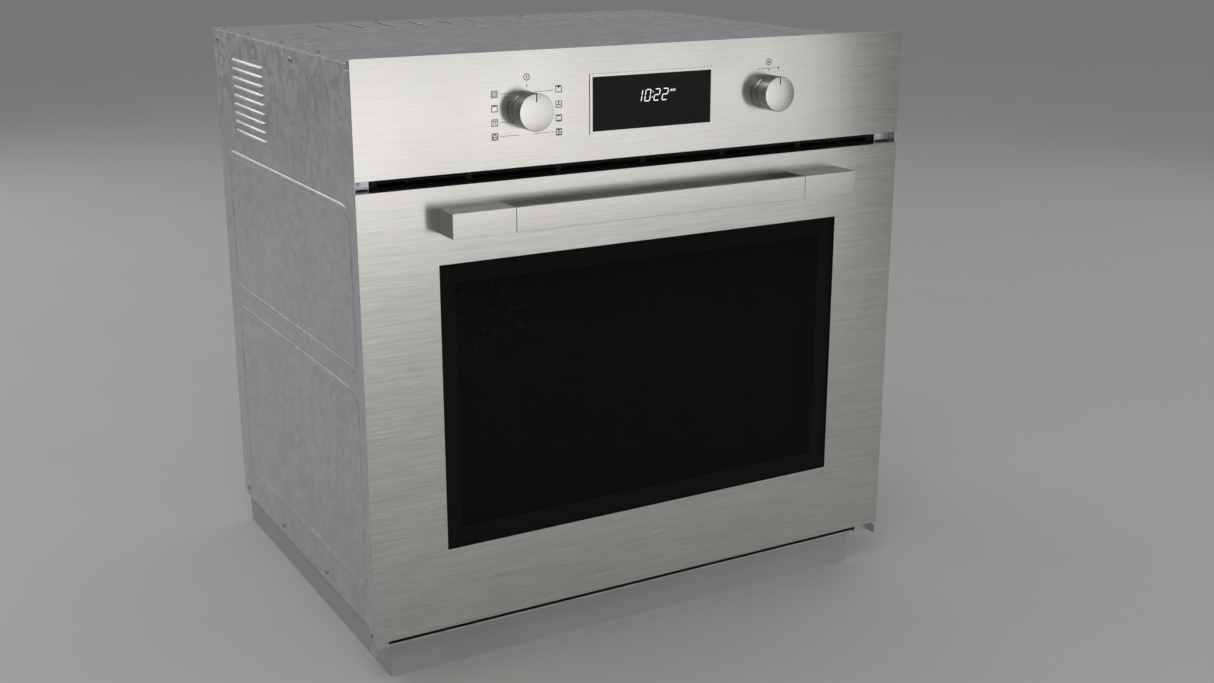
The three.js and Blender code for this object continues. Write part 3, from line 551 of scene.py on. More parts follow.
def rotor(form, x, z, size):
    """A fan symbol: three blades round a hub."""
    for k in range(3):
        angle = math.radians(90 + 120 * k)
        tip = (x + size * math.cos(angle), z + size * math.sin(angle))
        stroke(form, x, z, *tip, 0.7)
        dot(form, *tip, 0.78)
    dot(form, x, z, 0.6)


def function_symbols():
    """On mark, eight cooking functions and the lines that lead to them."""
    ink, fine = Form(), Form()
    x = -KNOB_X
    circle(ink, x + 0.6, 676.6, 4.0, BOLD)
    stroke(ink, x + 0.6, 674.9, x + 0.6, 678.3, 1.0)
    stroke(ink, x + 0.6, 665.5, x + 0.6, 668.3, 1.0)
    left, right = x - 40.3, x + 41.5
    places = [(left, v) for v in (659.4, 643.4, 627.3, 611.5)]
    places += [(right, v) for v in (660.9, 643.3, 627.3, 611.3)]
    for u, v in places:
        square(ink, u, v, 4.05, 0.82)
    four_lines, upper, zigzag_legs, ring_fan, tip_down, fan, both, fan_both = places

    def bars(place, *heights):
        u, v = place
        for height in heights:
            stroke(ink, u - 2.4, v + height, u + 2.4, v + height, BOLD)

    u, v = four_lines
    for height in (-2.2, -0.8, 0.6, 2.0):
        stroke(ink, u - 3.0, v + height, u + 3.0, v + height, 0.6)
    bars(upper, 2.6)
    u, v = zigzag_legs
    zigzag = [(-2.6, 2.6), (-1.3, 0.4), (0, 2.6), (1.3, 0.4), (2.6, 2.6)]
    for (u0, v0), (u1, v1) in zip(zigzag, zigzag[1:]):
        stroke(ink, u + u0, v + v0, u + u1, v + v1, 0.65)
    for s in (-1, 1):
        stroke(ink, u + 0.5 * s, v - 0.4, u + 2.0 * s, v - 2.8, 0.65)
    rotor(ink, *ring_fan, 2.1)
    circle(ink, *ring_fan, 3.2, 0.5)
    u, v = tip_down
    ink.prism([(u + 1.5, v + 3.0), (u, v + 0.4), (u - 1.5, v + 3.0)], "y", FACE - PRINT, FACE)
    bars(tip_down, 2.9)
    rotor(ink, *fan, 1.9)
    bars(both, 2.6, -2.6)
    rotor(ink, fan_both[0], fan_both[1] + 0.2, 1.5)
    bars(fan_both, 2.8, -2.8)

    stroke(fine, left + 6.3, 659.4, x - 10.0, 659.4, THIN)
    stroke(fine, left + 6.6, 627.1, x - 18.0, 627.1, THIN)
    stroke(fine, left + 6.6, 611.4, x - 9.4, 611.4, THIN)
    stroke(fine, right - 6.9, 659.6, x + 10.0, 659.4, THIN)
    stroke(fine, right - 6.7, 611.9, x + 9.4, 611.4, THIN)
    piece("function_symbols", ink, "root", "ink")
    piece("function_lines", fine, "root", "fine_ink")


def setting_symbols():
    """Clock mark over the setting knob, with less and more at its two sides."""
    ink, fine = Form(), Form()
    x = KNOB_X + 0.6
    circle(ink, x, 676.3, 4.0, BOLD)
    dot(ink, x, 676.3, 1.35)
    stroke(ink, x - 15.6, 668.4, x - 12.6, 668.4, BOLD)
    stroke(ink, x + 12.8, 668.4, x + 15.8, 668.4, BOLD)
    stroke(ink, x + 14.3, 666.9, x + 14.3, 669.9, BOLD)
    stroke(ink, x + 0.2, 665.4, x + 0.2, 668.1, 1.0)
    stroke(fine, x - 11.6, 668.5, x + 11.8, 668.5, THIN)
    piece("setting_symbols", ink, "root", "ink")
    piece("setting_lines", fine, "root", "fine_ink")


def knob(name, x):
    """A turned cap with a softened rim and a pointer groove over its rim and down its side; a dark strip in
    the groove's floor is painted shade.
    """
    _, (front, rear), (bottom, top) = span(name)
    radius = (top - bottom) / 2
    soft, wall, hole = 0.6, 2, 2
    rim = [(radius - soft + soft * math.sin(a), front + soft - soft * math.cos(a)) for a in QUARTER]
    inside = [(radius, rear - 0.3), (radius - 0.3, rear), (radius - wall, rear), (radius - wall, front + 5),
              (hole, front + 5)]
    cap = Form()
    cap.lathe([(hole, front)] + rim + inside, "y", x, KNOB_Z, 128)
    floor, side_floor, inner_end, outer_end = front + 0.9, top - 1.1, top - 9.5, front + 8.5
    section = [(front - 1, inner_end), (floor, inner_end), (floor, side_floor), (outer_end, side_floor),
               (outer_end, top + 1), (front - 1, top + 1)]
    groove = Form()
    groove.prism(section, "x", x - 0.75, x + 0.75)
    piece(name + "_cap", carved(cap, groove), name, "knob_steel", [name], edge=0.12)
    # A dark strip in the groove's floor: painted shade of the groove.
    fill = Form()
    fill.box(x - 0.74, x + 0.74, front + 0.75, front + 0.95, top - 9.45, top - 0.9)
    piece(name + "_groove_painted_shade", fill, name, "groove", slot="knob_steel")


def collar(side, s):
    """Two steel rings round a dark core, which shows between them and in the gap under the cap as painted
    shade.
    """
    name = side + "_knob_collar"
    _, (front, rear), (bottom, top) = span(name)
    radius = (top - bottom) / 2
    inner, soft = radius - 3, 0.2
    x = s * KNOB_X
    rings = Form()
    for near, far in ((front, front + 1.2), (front + 2.0, rear)):
        section = [(inner, far), (radius - soft, far), (radius, far - soft), (radius, near + soft),
                   (radius - soft, near), (inner, near)]
        rings.lathe(section, "y", x, KNOB_Z, 128, closed=True)
    piece(name + "_rings", rings, "root", "knob_steel", [name])
    # The dark core is painted shade: it darkens the groove between the rings and the gap under the cap.
    core = Form()
    core.lathe([(radius - 1, rear - 0.1), (radius - 1, front + 0.3), (radius - 3.1, front + 0.3),
                (radius - 3.1, front - 1.4)], "y", x, KNOB_Z, 96)
    piece(name + "_painted_shade_core", core, "root", "rubber", slot="black_plastic")


def clock():
    """Glowing time on the screen: sloping figures made of separate segments."""
    glass_front = span("display_glass")[1][0]
    low, height, slope, width, line = 639.0, 14.4, 0.175, 7.9, 1.05
    h = line / 2
    segments = Form()

    def bar(points):
        sloped = [(u + slope * (v - low), v) for u, v in points]
        segments.prism(sloped, "y", glass_front - 0.14, glass_front - 0.02)

    def upright(u, v0, v1):
        """A vertical segment with pointed ends, its middle on u."""
        bar([(u, v0), (u + h, v0 + h), (u + h, v1 - h), (u, v1), (u - h, v1 - h), (u - h, v0 + h)])

    def level(u0, u1, v):
        """A horizontal segment with pointed ends, its middle on v."""
        bar([(u0, v), (u0 + h, v - h), (u1 - h, v - h), (u1, v), (u1 - h, v + h), (u0 + h, v + h)])

    def figure(x, lit_segments):
        gap = 0.22
        left, right = x + h, x + width - h
        bottom, middle, top = low + h, low + height / 2, low + height - h
        places = {
            "a": (level, left + gap, right - gap, top),
            "g": (level, left + gap, right - gap, middle),
            "d": (level, left + gap, right - gap, bottom),
            "f": (upright, left, middle + gap, top - gap),
            "b": (upright, right, middle + gap, top - gap),
            "e": (upright, left, bottom + gap, middle - gap),
            "c": (upright, right, bottom + gap, middle - gap),
        }
        for letter in lit_segments:
            draw, *place = places[letter]
            draw(*place)

    figure(-16.6 - width + line, "bc")
    figure(-11.9, "abcdef")
    figure(0.9, "abged")
    figure(12.2, "abged")
    for v in (low + 4.0, low + 10.4):
        bar([(-1.9, v), (-0.7, v), (-0.7, v + 1.2), (-1.9, v + 1.2)])

    def letter_stroke(u0, v0, u1, v1):
        a, b = Vector((u0, v0)), Vector((u1, v1))
        across = (b - a).orthogonal().normalized() * 0.21
        bar([a + across, a - across, b - across, b + across])

    base, cap, size = low + 10.0, low + 12.9, 3.0
    u = 22.4
    letter_stroke(u, base, u + size / 2, cap)
    letter_stroke(u + size / 2, cap, u + size, base)
    letter_stroke(u + 0.6, base + 0.9, u + size - 0.6, base + 0.9)
    u += size + 0.9
    letter_stroke(u, base, u, cap)
    letter_stroke(u, cap, u + size / 2, base + 0.6)
    letter_stroke(u + size / 2, base + 0.6, u + size, cap)
    letter_stroke(u + size, cap, u + size, base)
    piece("clock_figures", segments, "root", "digits")


function_symbols()
setting_symbols()
knob("function_knob", -KNOB_X)
knob("setting_knob", KNOB_X)
for side, s in SIDES:
    collar(side, s)
clock()
NODES["display_glass"].data.materials[0] = EXTRA["screen"]
for name in ("handle_bar", "handle_left_block", "handle_right_block"):
    NODES[name].data.materials[0] = EXTRA["handle"]
    NODES[name].modifiers["edge"].width = 0.5 * MM

# ---------------------------------------------------------------- door


def window_prints():
    """Black borders printed on the back of the outer pane and on the inner pane."""
    film = 0.15
    (x0, x1), (_, back), (z0, z1) = span("door_outer_glass")
    border = Form()
    border.ring(rounded_path(x0, x1, z0, z1, 1, 4), rounded_path(-260, 260, 143, 446, 4, 4),
                "y", back, back + film)
    piece("outer_pane_print", border, "door", "border", slot="black_glass")
    (x0, x1), (front, _), (z0, z1) = span("door_inner_glass")
    border = Form()
    border.ring(rounded_path(x0 + 1, x1 - 1, z0 + 1, z1 - 1, 3), rounded_path(-268, 268, 112, 476, 10),
                "y", front - film, front)
    piece("inner_pane_print", border, "door", "border", slot="black_glass")


def bumpers():
    """Rubber stops behind the door's upper corners."""
    door_top = span("door_panel")[2][1]
    flange_front = -306.0
    outline = rounded_path(357.5, 375.0, door_top - 6, door_top + 1.4, 1.2, 4)
    for side, s in SIDES:
        stop = Form()
        stop.prism(mirrored(outline, s), "y", flange_front - 3.4, flange_front)
        piece(side + "_door_stop", stop, "root", "rubber", edge=0.5)


def gasket():
    """A braided seal of oval section round the cavity's mouth."""
    (x0, x1), (front, back), (z0, z1) = span("door_gasket")
    half, deep, middle = 4.0, (back - front) / 2, (front + back) / 2
    outline = rounded_path(x0 + half, x1 - half, z0 + half, z1 - half, 16, 10)
    path = [Vector((u, middle, v)) for u, v in outline]
    seal = Form()
    loops = []
    for i, point in enumerate(path):
        along = path[(i + 1) % len(path)] - path[i - 1]
        outward = Vector((along.z, 0, -along.x)).normalized()
        ring = [point + half * math.cos(a) * outward + Vector((0, deep * math.sin(a), 0)) for a in around(16)]
        loops.append([seal.bm.verts.new(MM * place) for place in ring])
    seal.skin(loops, closed=True)
    piece("braided_seal", seal, "root", "gasket", ["door_gasket"])


def glass_tabs():
    """Small moulded clips that hold the inner pane at its corners."""
    _, (_, back), (z0, z1) = span("door_inner_glass")
    button = [(2.04, back + 1.5), (2.6, back + 2.06), (2.6, back + 2.34), (2.04, back + 2.9)]
    for side, s in SIDES:
        for level, low, high in (("lower", z0 + 1, z0 + 12), ("upper", z1 - 14, z1 - 1)):
            tab = Form()
            tab.prism(mirrored(rounded_path(298, 319, low, high, 2.5, 5), s), "y", back - 0.1, back + 2.0)
            tab.lathe(button, "y", s * 308.5, (low + high) / 2, 24)
            piece(f"{side}_{level}_glass_tab", tab, "door", "black_plastic", edge=0.4)


window_prints()
bumpers()
gasket()
glass_tabs()

# ---------------------------------------------------------------- cavity

LAMP_X, LAMP_Z, PROBE_X, PROBE_Z, FAN_Z, GRILL_Z = -225, 425, 225, 440, 270, 468
SHEET = 1.2  # thickness of the pressed parts
BACK_WALL = 176  # front of the cavity's back wall
TUBE = 3.2  # radius of the heaters
RING_LEG_X, RING_LEG_Z, GRILL_LEG_X = 14, FAN_Z - 99, 30  # where the heaters go through the back wall


def screw(name, axis, facing, seat, u, v, radius):
    """A domed screw head with a six-lobed socket; facing is the way it looks along its axis."""
    head = Form()
    height = 0.55 * radius

    def loop(r, up, lobes=0.0):
        reach = [(a, r * (1 + lobes * math.cos(6 * a))) for a in around(36)]
        points = [(u + d * math.cos(a), v + d * math.sin(a)) for a, d in reach]
        return head.loop(axis, points, seat + facing * up)

    dome = [(radius, 0.02), (radius, 0.3 * height), (0.93 * radius, 0.62 * height),
            (0.72 * radius, 0.9 * height), (0.5 * radius, height)]
    socket = [(0.42 * radius, height, 0.13), (0.40 * radius, 0.35 * height, 0.13)]
    head.skin([loop(*step) for step in dome + socket])
    piece(name, head, "root", "bare_steel", smooth=40)


def corner_loops(form, steps):
    """Loops across the Y axis from (half width, bottom, top, corner radius, place) steps."""
    return [
        form.loop("y", rounded_path(-half, half, bottom, top, radius, 8), place)
        for half, bottom, top, radius, place in steps
    ]


def fillet(half, low, high, radius, place, depth):
    """Steps of a rounded inner edge where a wall turns into a face across the axis."""
    made = []
    for i in range(1, 8):
        angle = math.radians(90 * i / 7)
        inward = depth * (1 - math.cos(angle))
        corner = max(radius - inward, 6)
        made.append((half - inward, low + inward, high - inward, corner, place + depth * math.sin(angle)))
    return made


def cavity():
    """A pressed muffle: rounded corners, a turned-out mouth, and a back wall with its openings."""
    (_, x1), (mouth, rear), (z0, z1) = span("oven_cavity")
    brim = 11
    half, low, high = (round(v) for v in (x1 - brim, z0 + brim, z1 - brim))
    bend = rear - SHEET - 18
    inside = [(half, low, high, 12.5, mouth), (half, low, high, 20, mouth + 12),
              (half, low, high, 28, mouth + 34), (half, low, high, 28, bend)]
    corner = fillet(half, low, high, 28, bend, 18)
    lip = (half + brim, low - brim, high + brim, 18)
    skin = (half + SHEET, low - SHEET, high + SHEET)
    outside = [(*lip, mouth), (*lip, mouth + SHEET), (*skin, 21, mouth + SHEET), (*skin, 29, mouth + 34),
               (*skin, 29, bend)]
    outside += [(h + SHEET, a - SHEET, b + SHEET, r + SHEET, p + SHEET) for h, a, b, r, p in corner]
    shell = Form()
    shell.skin(corner_loops(shell, (inside + corner)[::-1] + outside))
    holes = [(0, FAN_Z, 10), (LAMP_X, LAMP_Z, 24), (PROBE_X, PROBE_Z, 3.2)]
    holes += [(s * RING_LEG_X, RING_LEG_Z, 4.5) for _, s in SIDES]
    holes += [(s * GRILL_LEG_X, GRILL_Z, 4.5) for _, s in SIDES]
    tool = Form()
    for u, v, radius in holes:
        tool.lathe([(radius, rear - SHEET - 6), (radius, rear + 6)], "y", u, v, 40)
    piece("muffle", carved(shell, tool), "root", "dark_enamel", ["oven_cavity"], smooth=32)


def baffle():
    """A pressed fan cover: soft edges, radial slots, a ring of round holes and a centre hole."""
    (_, x1), (front, rear), (z0, z1) = span("fan_baffle")
    soft = 7
    bend = front + soft
    shape = [(x1, z0, z1, 16, rear), (x1, z0, z1, 16, bend)]
    shape += [(h, a, b, r, bend - (p - front - soft)) for h, a, b, r, p in fillet(x1, z0, z1, 16, bend, soft)]
    inner = [
        (h - SHEET, a + SHEET, b - SHEET, max(r - SHEET, 5), p if p == rear else p + SHEET)
        for h, a, b, r, p in shape
    ]
    pan = Form()
    pan.skin(corner_loops(pan, inner[::-1] + shape))
    before, behind = front - 4, front + 6
    tool = Form()
    for i in range(12):
        c, s = math.cos(math.pi * i / 6), math.sin(math.pi * i / 6)
        slot = [(c * u - s * v, FAN_Z + s * u + c * v) for u, v in rounded_path(26, 64, -4, 4, 3.99)]
        tool.prism(slot, "y", before, behind)
    for i in range(24):
        angle = math.pi * (i + 0.5) / 12
        u, v = 78 * math.cos(angle), FAN_Z + 78 * math.sin(angle)
        tool.lathe([(3.4, before), (3.4, behind)], "y", u, v, 20)
    tool.lathe([(9, before), (9, behind)], "y", 0, FAN_Z, 32)
    for _, s in SIDES:
        for low in (122, 224, 326):
            tool.prism(rounded_path(142, 168, low, low + 92, 6, 5), "x", s * (x1 + 6), s * (x1 - 8))
    piece("fan_cover", carved(pan, tool), "root", "dark_enamel", ["fan_baffle"], smooth=32)
    for side, s in SIDES:
        for level, v in (("lower", z0 + 16), ("upper", z1 - 16)):
            screw(f"{side}_{level}_cover_screw", "y", -1, front, s * (x1 - 16), v, 4.2)


def front_screws():
    """Screws through the enamelled front frame's corners."""
    front = span("front_frame")[1][0]
    for side, s in SIDES:
        for level, v in (("lower", 74), ("upper", 524)):
            screw(f"{side}_{level}_frame_screw", "y", -1, front, s * 340, v, 3.6)


def rails():
    """Side racks: rungs in pairs that turn outwards and join at both ends, clear of what slides on them."""
    front, rear, turn = -237, 102, 5.6
    rung, end, foot, post = 289.5, 296.4, 299.6, 293.2
    for side, s in SIDES:
        node = side + "_shelf_rail"
        rack = Form()
        for low in (128, 190, 252, 314, 376):
            high = low + 15
            loop = [(rung, front, low), (end, front - turn, low), (end, front - turn, high),
                    (rung, front, high), (rung, rear, high), (end, rear + turn, high),
                    (end, rear + turn, low), (rung, rear, low)]
            rack.tube(bent_path([(s * u, v, w) for u, v, w in loop], 3.2, 5, closed=True), 2.4, closed=True)
        for y in (-232, 96):
            upright = [(s * foot, y, 117), (s * post, y, 117), (s * post, y, 406), (s * foot, y, 406)]
            rack.tube(bent_path(upright, 4.5), 2.8)
        piece(node + "_wires", rack, "root", "chromed_wire", [node], smooth=60)


def shelf():
    """A wire shelf: a bent frame, a cross bar, and thin bars that end in the frame."""
    (x0, x1), (y0, y1), (z0, _) = span("wire_shelf")
    thick, thin = 3.0, 1.7
    level = z0 + thick
    lift = thick + thin - 2.1
    left, right, front, back = x0 + thick, x1 - thick, y0 + thick, y1 - thick
    rack = Form()
    edge = [(u, v, level) for u, v in rounded_path(left, right, front, back, 12, 8)]
    rack.tube(edge, thick, 14, closed=True)
    rack.tube([(left, -60, level), (right, -60, level)], thick, 14)
    for x in range(-260, 261, 26):
        rack.tube([(x, front, level + lift), (x, back, level + lift)], thin, 10)
    piece("shelf_wires", rack, "shelf", "chromed_wire", ["wire_shelf"], smooth=60)


def tray():
    """A pressed enamel tray: drawn sides, round corners and a turned-down rim."""
    (x0, x1), (y0, y1), (z0, top) = span("baking_tray")
    brim, soft = 14, 9
    under = top - SHEET
    form = Form()

    def ring(inset, radius, height):
        """A loop inset from the rim's outline."""
        outline = rounded_path(x0 + inset, x1 - inset, y0 + inset, y1 - inset, radius, 10)
        return form.loop("z", outline, height)

    walls = [
        (brim + 6 + soft * (1 - math.sin(a)), 26 - 0.6 * i, soft * (1 - math.cos(a)))
        for i, a in enumerate(QUARTER)
    ]
    rim = [(brim + 1.5, 27, under - 3), (brim - 0.5, 28, under), (1.2, 16, under), (0.2, 16.5, under + 0.3),
           (0.2, 16.5, top - 0.3), (1.0, 16, top), (brim + 0.5, 28, top), (brim + 2.7, 26, top - 3)]
    loops = [ring(inset, radius, z0 + up) for inset, radius, up in walls]
    loops += [ring(*step) for step in rim]
    loops += [ring(inset + SHEET, radius - 1, z0 + SHEET + up) for inset, radius, up in walls[::-1]]
    form.skin(loops)
    piece("pressed_tray", form, "tray", "dark_enamel", ["baking_tray"], smooth=40)


def elements():
    """Sheathed heaters bent from round tube, with the grill's flange plate, collars and hangers."""
    half = [(GRILL_LEG_X, 214), (GRILL_LEG_X, 110), (225, 110), (225, -200), (160, -200), (160, 60),
            (95, 60), (95, -200), (30, -200), (30, 60)]
    route = half + [(-u, v) for u, v in half[::-1]]
    grill = Form()
    grill.tube(bent_path([(u, v, GRILL_Z) for u, v in route], 21, 8), TUBE, 16)
    piece("grill_tube", grill, "root", "heater_steel", ["grill_element"], smooth=60)
    start = math.asin(RING_LEG_X / 100)
    arc = [start + (2 * math.pi - 2 * start) * i / 72 - math.pi / 2 for i in range(73)]
    ring = Form()
    ring.tube([(100 * math.cos(a), 152, FAN_Z + 100 * math.sin(a)) for a in arc], TUBE, 16)
    for _, s in SIDES:
        leg = s * RING_LEG_X
        ring.tube([(leg, 149.5, RING_LEG_Z), (leg, 214, RING_LEG_Z)], TUBE, 16)
    piece("ring_tube", ring, "root", "heater_steel", ["ring_element"], smooth=60)

    seat = 174.2
    plate = Form()
    plate.prism(rounded_path(-48, 48, GRILL_Z - 9, GRILL_Z + 9, 8.5), "y", seat, seat + 1.6)
    piece("grill_flange", plate, "root", "bare_steel", edge=0.3)
    for side, s in SIDES:
        bush = Form()
        section = [(5.6, 168), (6.2, 168.6), (6.2, 174.1), (5.6, seat)]
        bush.lathe(section, "y", s * GRILL_LEG_X, GRILL_Z, 32)
        piece(side + "_grill_collar", bush, "root", "ceramic", edge=0.2)
        screw(side + "_grill_screw", "y", -1, seat, s * 42, GRILL_Z, 3.2)
    under = GRILL_Z - 4.6
    end = [(172, under), (176, under), (176, 487.6), (172, 487.6)]
    for name, y in (("front", -150), ("rear", 20)):
        strap = Form()
        strap.box(-172, 172, y - 6, y + 6, under, GRILL_Z - 3.3)
        for _, s in SIDES:
            strap.prism(mirrored(end, s), "y", y - 6, y + 6)
        piece(name + "_grill_hanger", strap, "root", "bare_steel", edge=0.3)


def lamp():
    """A lamp behind a domed glass lens, in its ceramic holder."""

    def turned(name, profile, look, replaces=()):
        """A turned part from (radius, distance in front of the back wall) points."""
        form = Form()
        hollow = profile[0][0] > 1
        form.lathe([(r, BACK_WALL - f) for r, f in profile], "y", LAMP_X, LAMP_Z, 72, closed=hollow)
        piece(name, form, "root", look, replaces, smooth=40)

    holder = [(5.4, -50), (23.4, -50), (23.4, -1.6), (20, -1.6), (20, -36), (5.4, -36)]
    bulb = [(0.05, -44), (5, -44), (5, -26), (7.5, -22.5), (9, -18), (9, 3), (8, 7), (5.5, 10), (2.5, 11),
            (0.05, 11.1)]
    lens = [(27, 0.3), (29.6, 0.3), (30, 0.8), (30, 7.4), (29.2, 8.6), (26, 11.6), (22, 14.4), (16, 16.8),
            (9, 18.2), (3, 18.6), (3, 16.2), (9, 15.6), (15, 14.6), (20.5, 12.4), (24.5, 9.6), (27, 7)]
    bezel = [(30.2, 0.1), (33, 0.1), (33, 2.4), (32.2, 3.2), (30.2, 3.2)]
    turned("lamp_holder", holder, "ceramic", ["lamp_housing"])
    turned("lamp_glass_bulb", bulb, "clear_glass", ["lamp_bulb"])
    turned("lamp_cover", lens, "clear_glass", ["lamp_lens"])
    turned("lamp_bezel", bezel, "bare_steel")


def probe():
    """A temperature sensor: a closed tube with a domed end, a stop ring and a small flange."""
    x, z = PROBE_X, PROBE_Z
    form = Form()
    form.lathe([(0.05, 80.1), (1.4, 80.5), (2.2, 81.3), (2.6, 82.6), (2.6, 232)], "y", x, z, 28)
    form.lathe([(3.4, 170), (4.4, 170.8), (4.4, 173.1)], "y", x, z, 28)
    form.prism(rounded_path(x - 9, x + 9, z - 7, z + 7, 6.9), "y", 173, 175.6)
    piece("sensor_tube", form, "root", "bare_steel", ["temperature_probe"], smooth=40)


cavity()
baffle()
front_screws()
rails()
shelf()
tray()
elements()
lamp()
probe()

# ---------------------------------------------------------------- casing


def casing_screws():
    """Screws where the casing's panels meet, and those of the terminals and the cable clamp."""
    (_, x1), (_, back), (z0, z1) = span("rear_cover")
    places = [(s * (x1 - 8), v) for _, s in SIDES for v in (18, 130, 242, 354, 466, 578, 682)]
    places += [(u, v) for u in (-236, -118, 0, 118, 236) for v in (z0 + 8, z1 - 8)]
    for i, (u, v) in enumerate(places):
        screw(f"rear_screw_{i:02d}", "y", 1, back, u, v, 4.0)
    lid = span("top_cover")[2][1]
    places = [(s * 346, v) for _, s in SIDES for v in (-270, -130, 10, 150, 262)] + [(-120, 266), (120, 266)]
    for i, (u, v) in enumerate(places):
        screw(f"lid_screw_{i:02d}", "z", 1, lid, u, v, 4.0)
    places = [(u, 14) for u in (-262, -90, 90, 256)] + [(u, 682) for u in (-262, -60, 256)] + [(-262, 350)]
    for side, s in SIDES:
        for i, (u, v) in enumerate(places):
            screw(f"{side}_wall_screw_{i}", "x", s, s * WALL_X, u, v, 4.0)
    terminals = span("terminal_block")[1][1] - 9.8
    for i in range(4):
        screw(f"terminal_screw_{i}", "y", 1, terminals, 236 + 16 * i, 645, 3.4)
    _, (front, back), (_, top) = span("cable_clamp")
    for i, u in enumerate((243, 277)):
        screw(f"clamp_screw_{i}", "z", 1, top, u, (front + back) / 2, 3.6)


def hoods():
    """Pressed hoods over the side louvres and the rear slots."""
    root = WALL_X - 0.4
    for side, s in SIDES:
        cover = Form()
        for low in range(560, 657, 12):
            arc = [(WALL_X + 2.6 * math.sin(a), low + 4.6 - 5.0 * (1 - math.cos(a)) + 0.4) for a in QUARTER]
            section = [(root, low + 6.2)] + [(u, v + 1.2) for u, v in arc]
            section += [(u - 0.8, v) for u, v in arc[::-1]]
            cover.skin([
                [cover.vertex("y", s * (root + swell * (u - root)), v, y) for u, v in section]
                for y, swell in ((57, 0.05), (62, 1.0), (188, 1.0), (193, 0.05))
            ])
        piece(side + "_louvre_hoods", cover, "root", "galvanised_steel", smooth=40)
    root = span("rear_cover")[1][1] - 0.3
    cover = Form()
    for start, step, count, wide, low, high in ((-150, 26, 12, 6, 560, 620), (-62, 15, 9, 4, 225, 315)):
        for i in range(count):
            edge = start + step * i + wide
            arc = [(edge + 0.6 - (wide + 0.2) * math.sin(a), 2.4 * math.cos(a)) for a in QUARTER[:-1]]
            last_u, last_h = arc[-1]
            section = [(edge + 1.6, -0.3), (edge + 1.4, 1.6)] + arc
            section += [(last_u + 0.5, last_h - 0.5), (edge + 0.6, 1.5)]
            cover.skin([
                [cover.vertex("z", u, root + swell * (h + 0.3), v) for u, h in section]
                for v, swell in ((low - 3, 0.05), (low + 1.5, 1.0), (high - 1.5, 1.0), (high + 3, 0.05))
            ])
    piece("rear_slot_hoods", cover, "root", "galvanised_steel", smooth=40)


def bead(form, axis, seat, facing, u0, u1, v0, v1):
    """A rounded rib pressed outwards along a rectangle with round corners."""
    section = [(-7, -0.3), (-6.5, 0.1), (-4, 0.9), (-1.5, 1.4), (1.5, 1.4), (4, 0.9), (6.5, 0.1), (7, -0.3)]
    loops = []
    for inset, up in section:
        outline = rounded_path(u0 + inset, u1 - inset, v0 + inset, v1 - inset, 24 - inset, 8)
        loops.append(form.loop(axis, outline, seat + facing * up))
    form.skin(loops, closed=True)


def beads():
    """Stiffening ribs pressed into the large flat panels."""
    back, lid_top = span("rear_cover")[1][1], span("top_cover")[2][1]
    rear = Form()
    bead(rear, "y", back, 1, -325, -105, 45, 520)
    bead(rear, "y", back, 1, 105, 325, 45, 520)
    piece("rear_ribs", rear, "root", "galvanised_steel", smooth=50)
    lid = Form()
    bead(lid, "z", lid_top, 1, -300, 300, -250, 120)
    piece("lid_rib", lid, "root", "galvanised_steel", smooth=50)
    for side, s in SIDES:
        wall = Form()
        bead(wall, "x", s * WALL_X, s, -240, 240, 50, 300)
        bead(wall, "x", s * WALL_X, s, -240, 240, 330, 525)
        piece(side + "_wall_ribs", wall, "root", "galvanised_steel", smooth=50)


casing_screws()
hoods()
beads()

# ---------------------------------------------------------------- floor, light and camera

FLOOR_Z = -0.045


def staged(name, mesh, height, patches, grain, dark, light, smooth, rough):
    """A painted object of the stage, which is no part of the oven."""
    made = bpy.data.objects.new(name, mesh)
    made.location.z = height
    bpy.context.scene.collection.objects.link(made)
    s = Shade(name + "_paint")
    color = s.ramp(s.noise(patches), dark, light)
    mesh.materials.append(s.done(color, s.fit(s.noise(grain), smooth, rough)))


def floor():
    """A wide plain floor."""
    grid = bmesh.new()
    bmesh.ops.create_grid(grid, x_segments=1, y_segments=1, size=30.0)
    mesh = bpy.data.meshes.new("floor")
    grid.to_mesh(mesh)
    grid.free()
    color = (0.62, 0.61, 0.60)
    staged("floor", mesh, FLOOR_Z, 3.0, 40.0, color, tuple(1.03 * c for c in color), 0.55, 0.7)


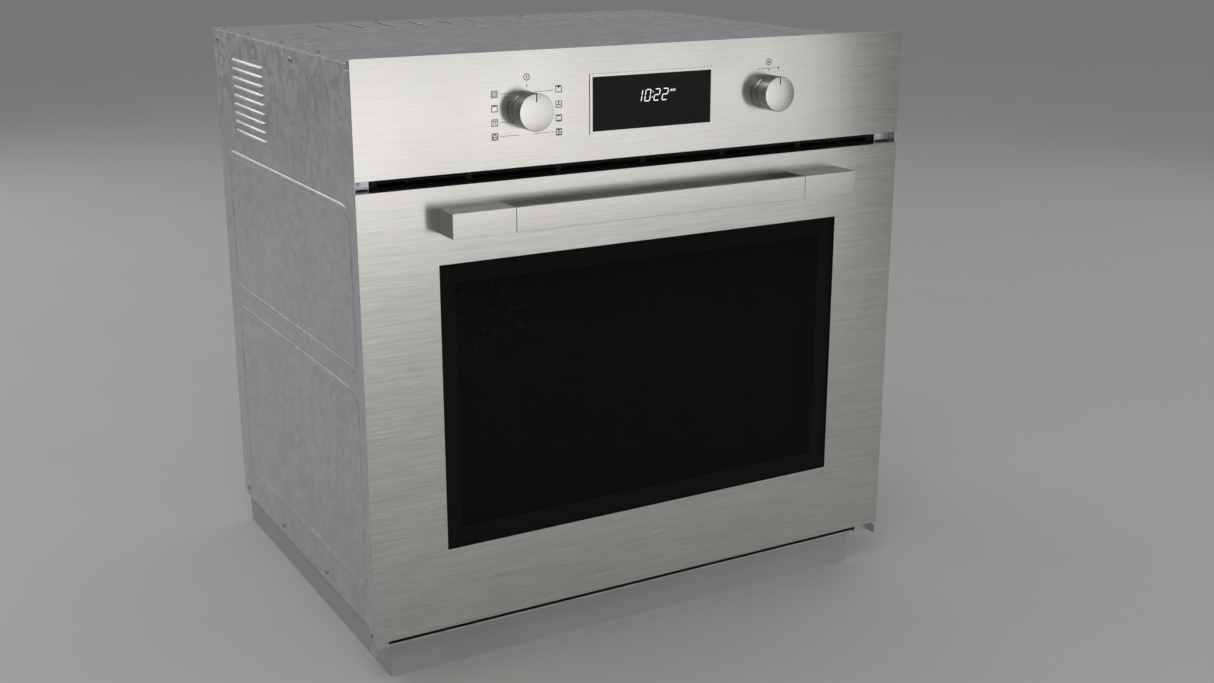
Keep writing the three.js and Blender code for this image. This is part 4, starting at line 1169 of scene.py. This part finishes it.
def plinth():
    """A plain block that carries the case clear of the floor, set back behind the opened door's handle."""
    block = Form()
    block.prism(rounded_path(-350, 350, -296, 276, 4, 4), "z", FLOOR_Z / MM, -0.2)
    mesh = block.mesh("plinth")
    staged("plinth", mesh, 0.0, 9.0, 60.0, (0.40, 0.395, 0.39), (0.43, 0.425, 0.42), 0.6, 0.75)


def area_light(name, place, target, size, power, color=(1.0, 1.0, 1.0), spread=180):
    """A rectangular lamp that looks from its place at its target, in metres and watts."""
    data = bpy.data.lights.new(name, "AREA")
    data.spread = math.radians(spread)
    data.shape = "RECTANGLE"
    data.size, data.size_y = size
    data.energy, data.color = power, color
    light = bpy.data.objects.new(name, data)
    light.location = place
    light.rotation_mode = "QUATERNION"
    light.rotation_quaternion = (Vector(target) - Vector(place)).to_track_quat("-Z", "Y")
    bpy.context.scene.collection.objects.link(light)


floor()
plinth()

CAMERA_YAW, CAMERA_PITCH = 29.539, 16.342
camera = bpy.data.objects.new("camera", bpy.data.cameras.new("camera"))
camera.data.lens = 45.23
camera.data.sensor_width = 36.0
camera.data.clip_end = 100.0
camera.location = (-0.94747, -1.88620, 0.87538)
camera.rotation_euler = (math.radians(90 - CAMERA_PITCH), 0, math.radians(-CAMERA_YAW))
bpy.context.scene.collection.objects.link(camera)
bpy.context.scene.camera = camera

# The front lamp is low, so that the handle's top mirrors the darker space above it.
area_light("front", (0.72, -2.15, 0.38), (0.72, 0.0, 0.38), (2.0, 0.56), 2.85, (1.0, 0.99, 0.97), 110)
area_light("key", (-1.3, -2.2, 3.1), (0, -0.4, 0.2), (1.6, 1.6), 22, (1.0, 0.985, 0.96))
area_light("side", (-3.4, 0.4, 2.2), (0, 0, 0.3), (1.6, 1.8), 6, (0.96, 0.98, 1.0))
area_light("fill", (3.4, 0.9, 1.9), (0, 0.1, 0.3), (1.6, 1.8), 7)
area_light("top", (0.2, 0.6, 3.6), (0, 0, 0), (2.4, 2.4), 8)
area_light("back", (-1.8, 3.4, 1.9), (0, 0.2, 0.3), (2.0, 1.6), 26)

world = bpy.data.worlds.new("studio")
world.use_nodes = True
background = world.node_tree.nodes["Background"]
background.inputs["Color"].default_value = (0.86, 0.87, 0.88, 1.0)
background.inputs["Strength"].default_value = 0.31
bpy.context.scene.world = world
bpy.context.scene.view_settings.view_transform = "Standard"
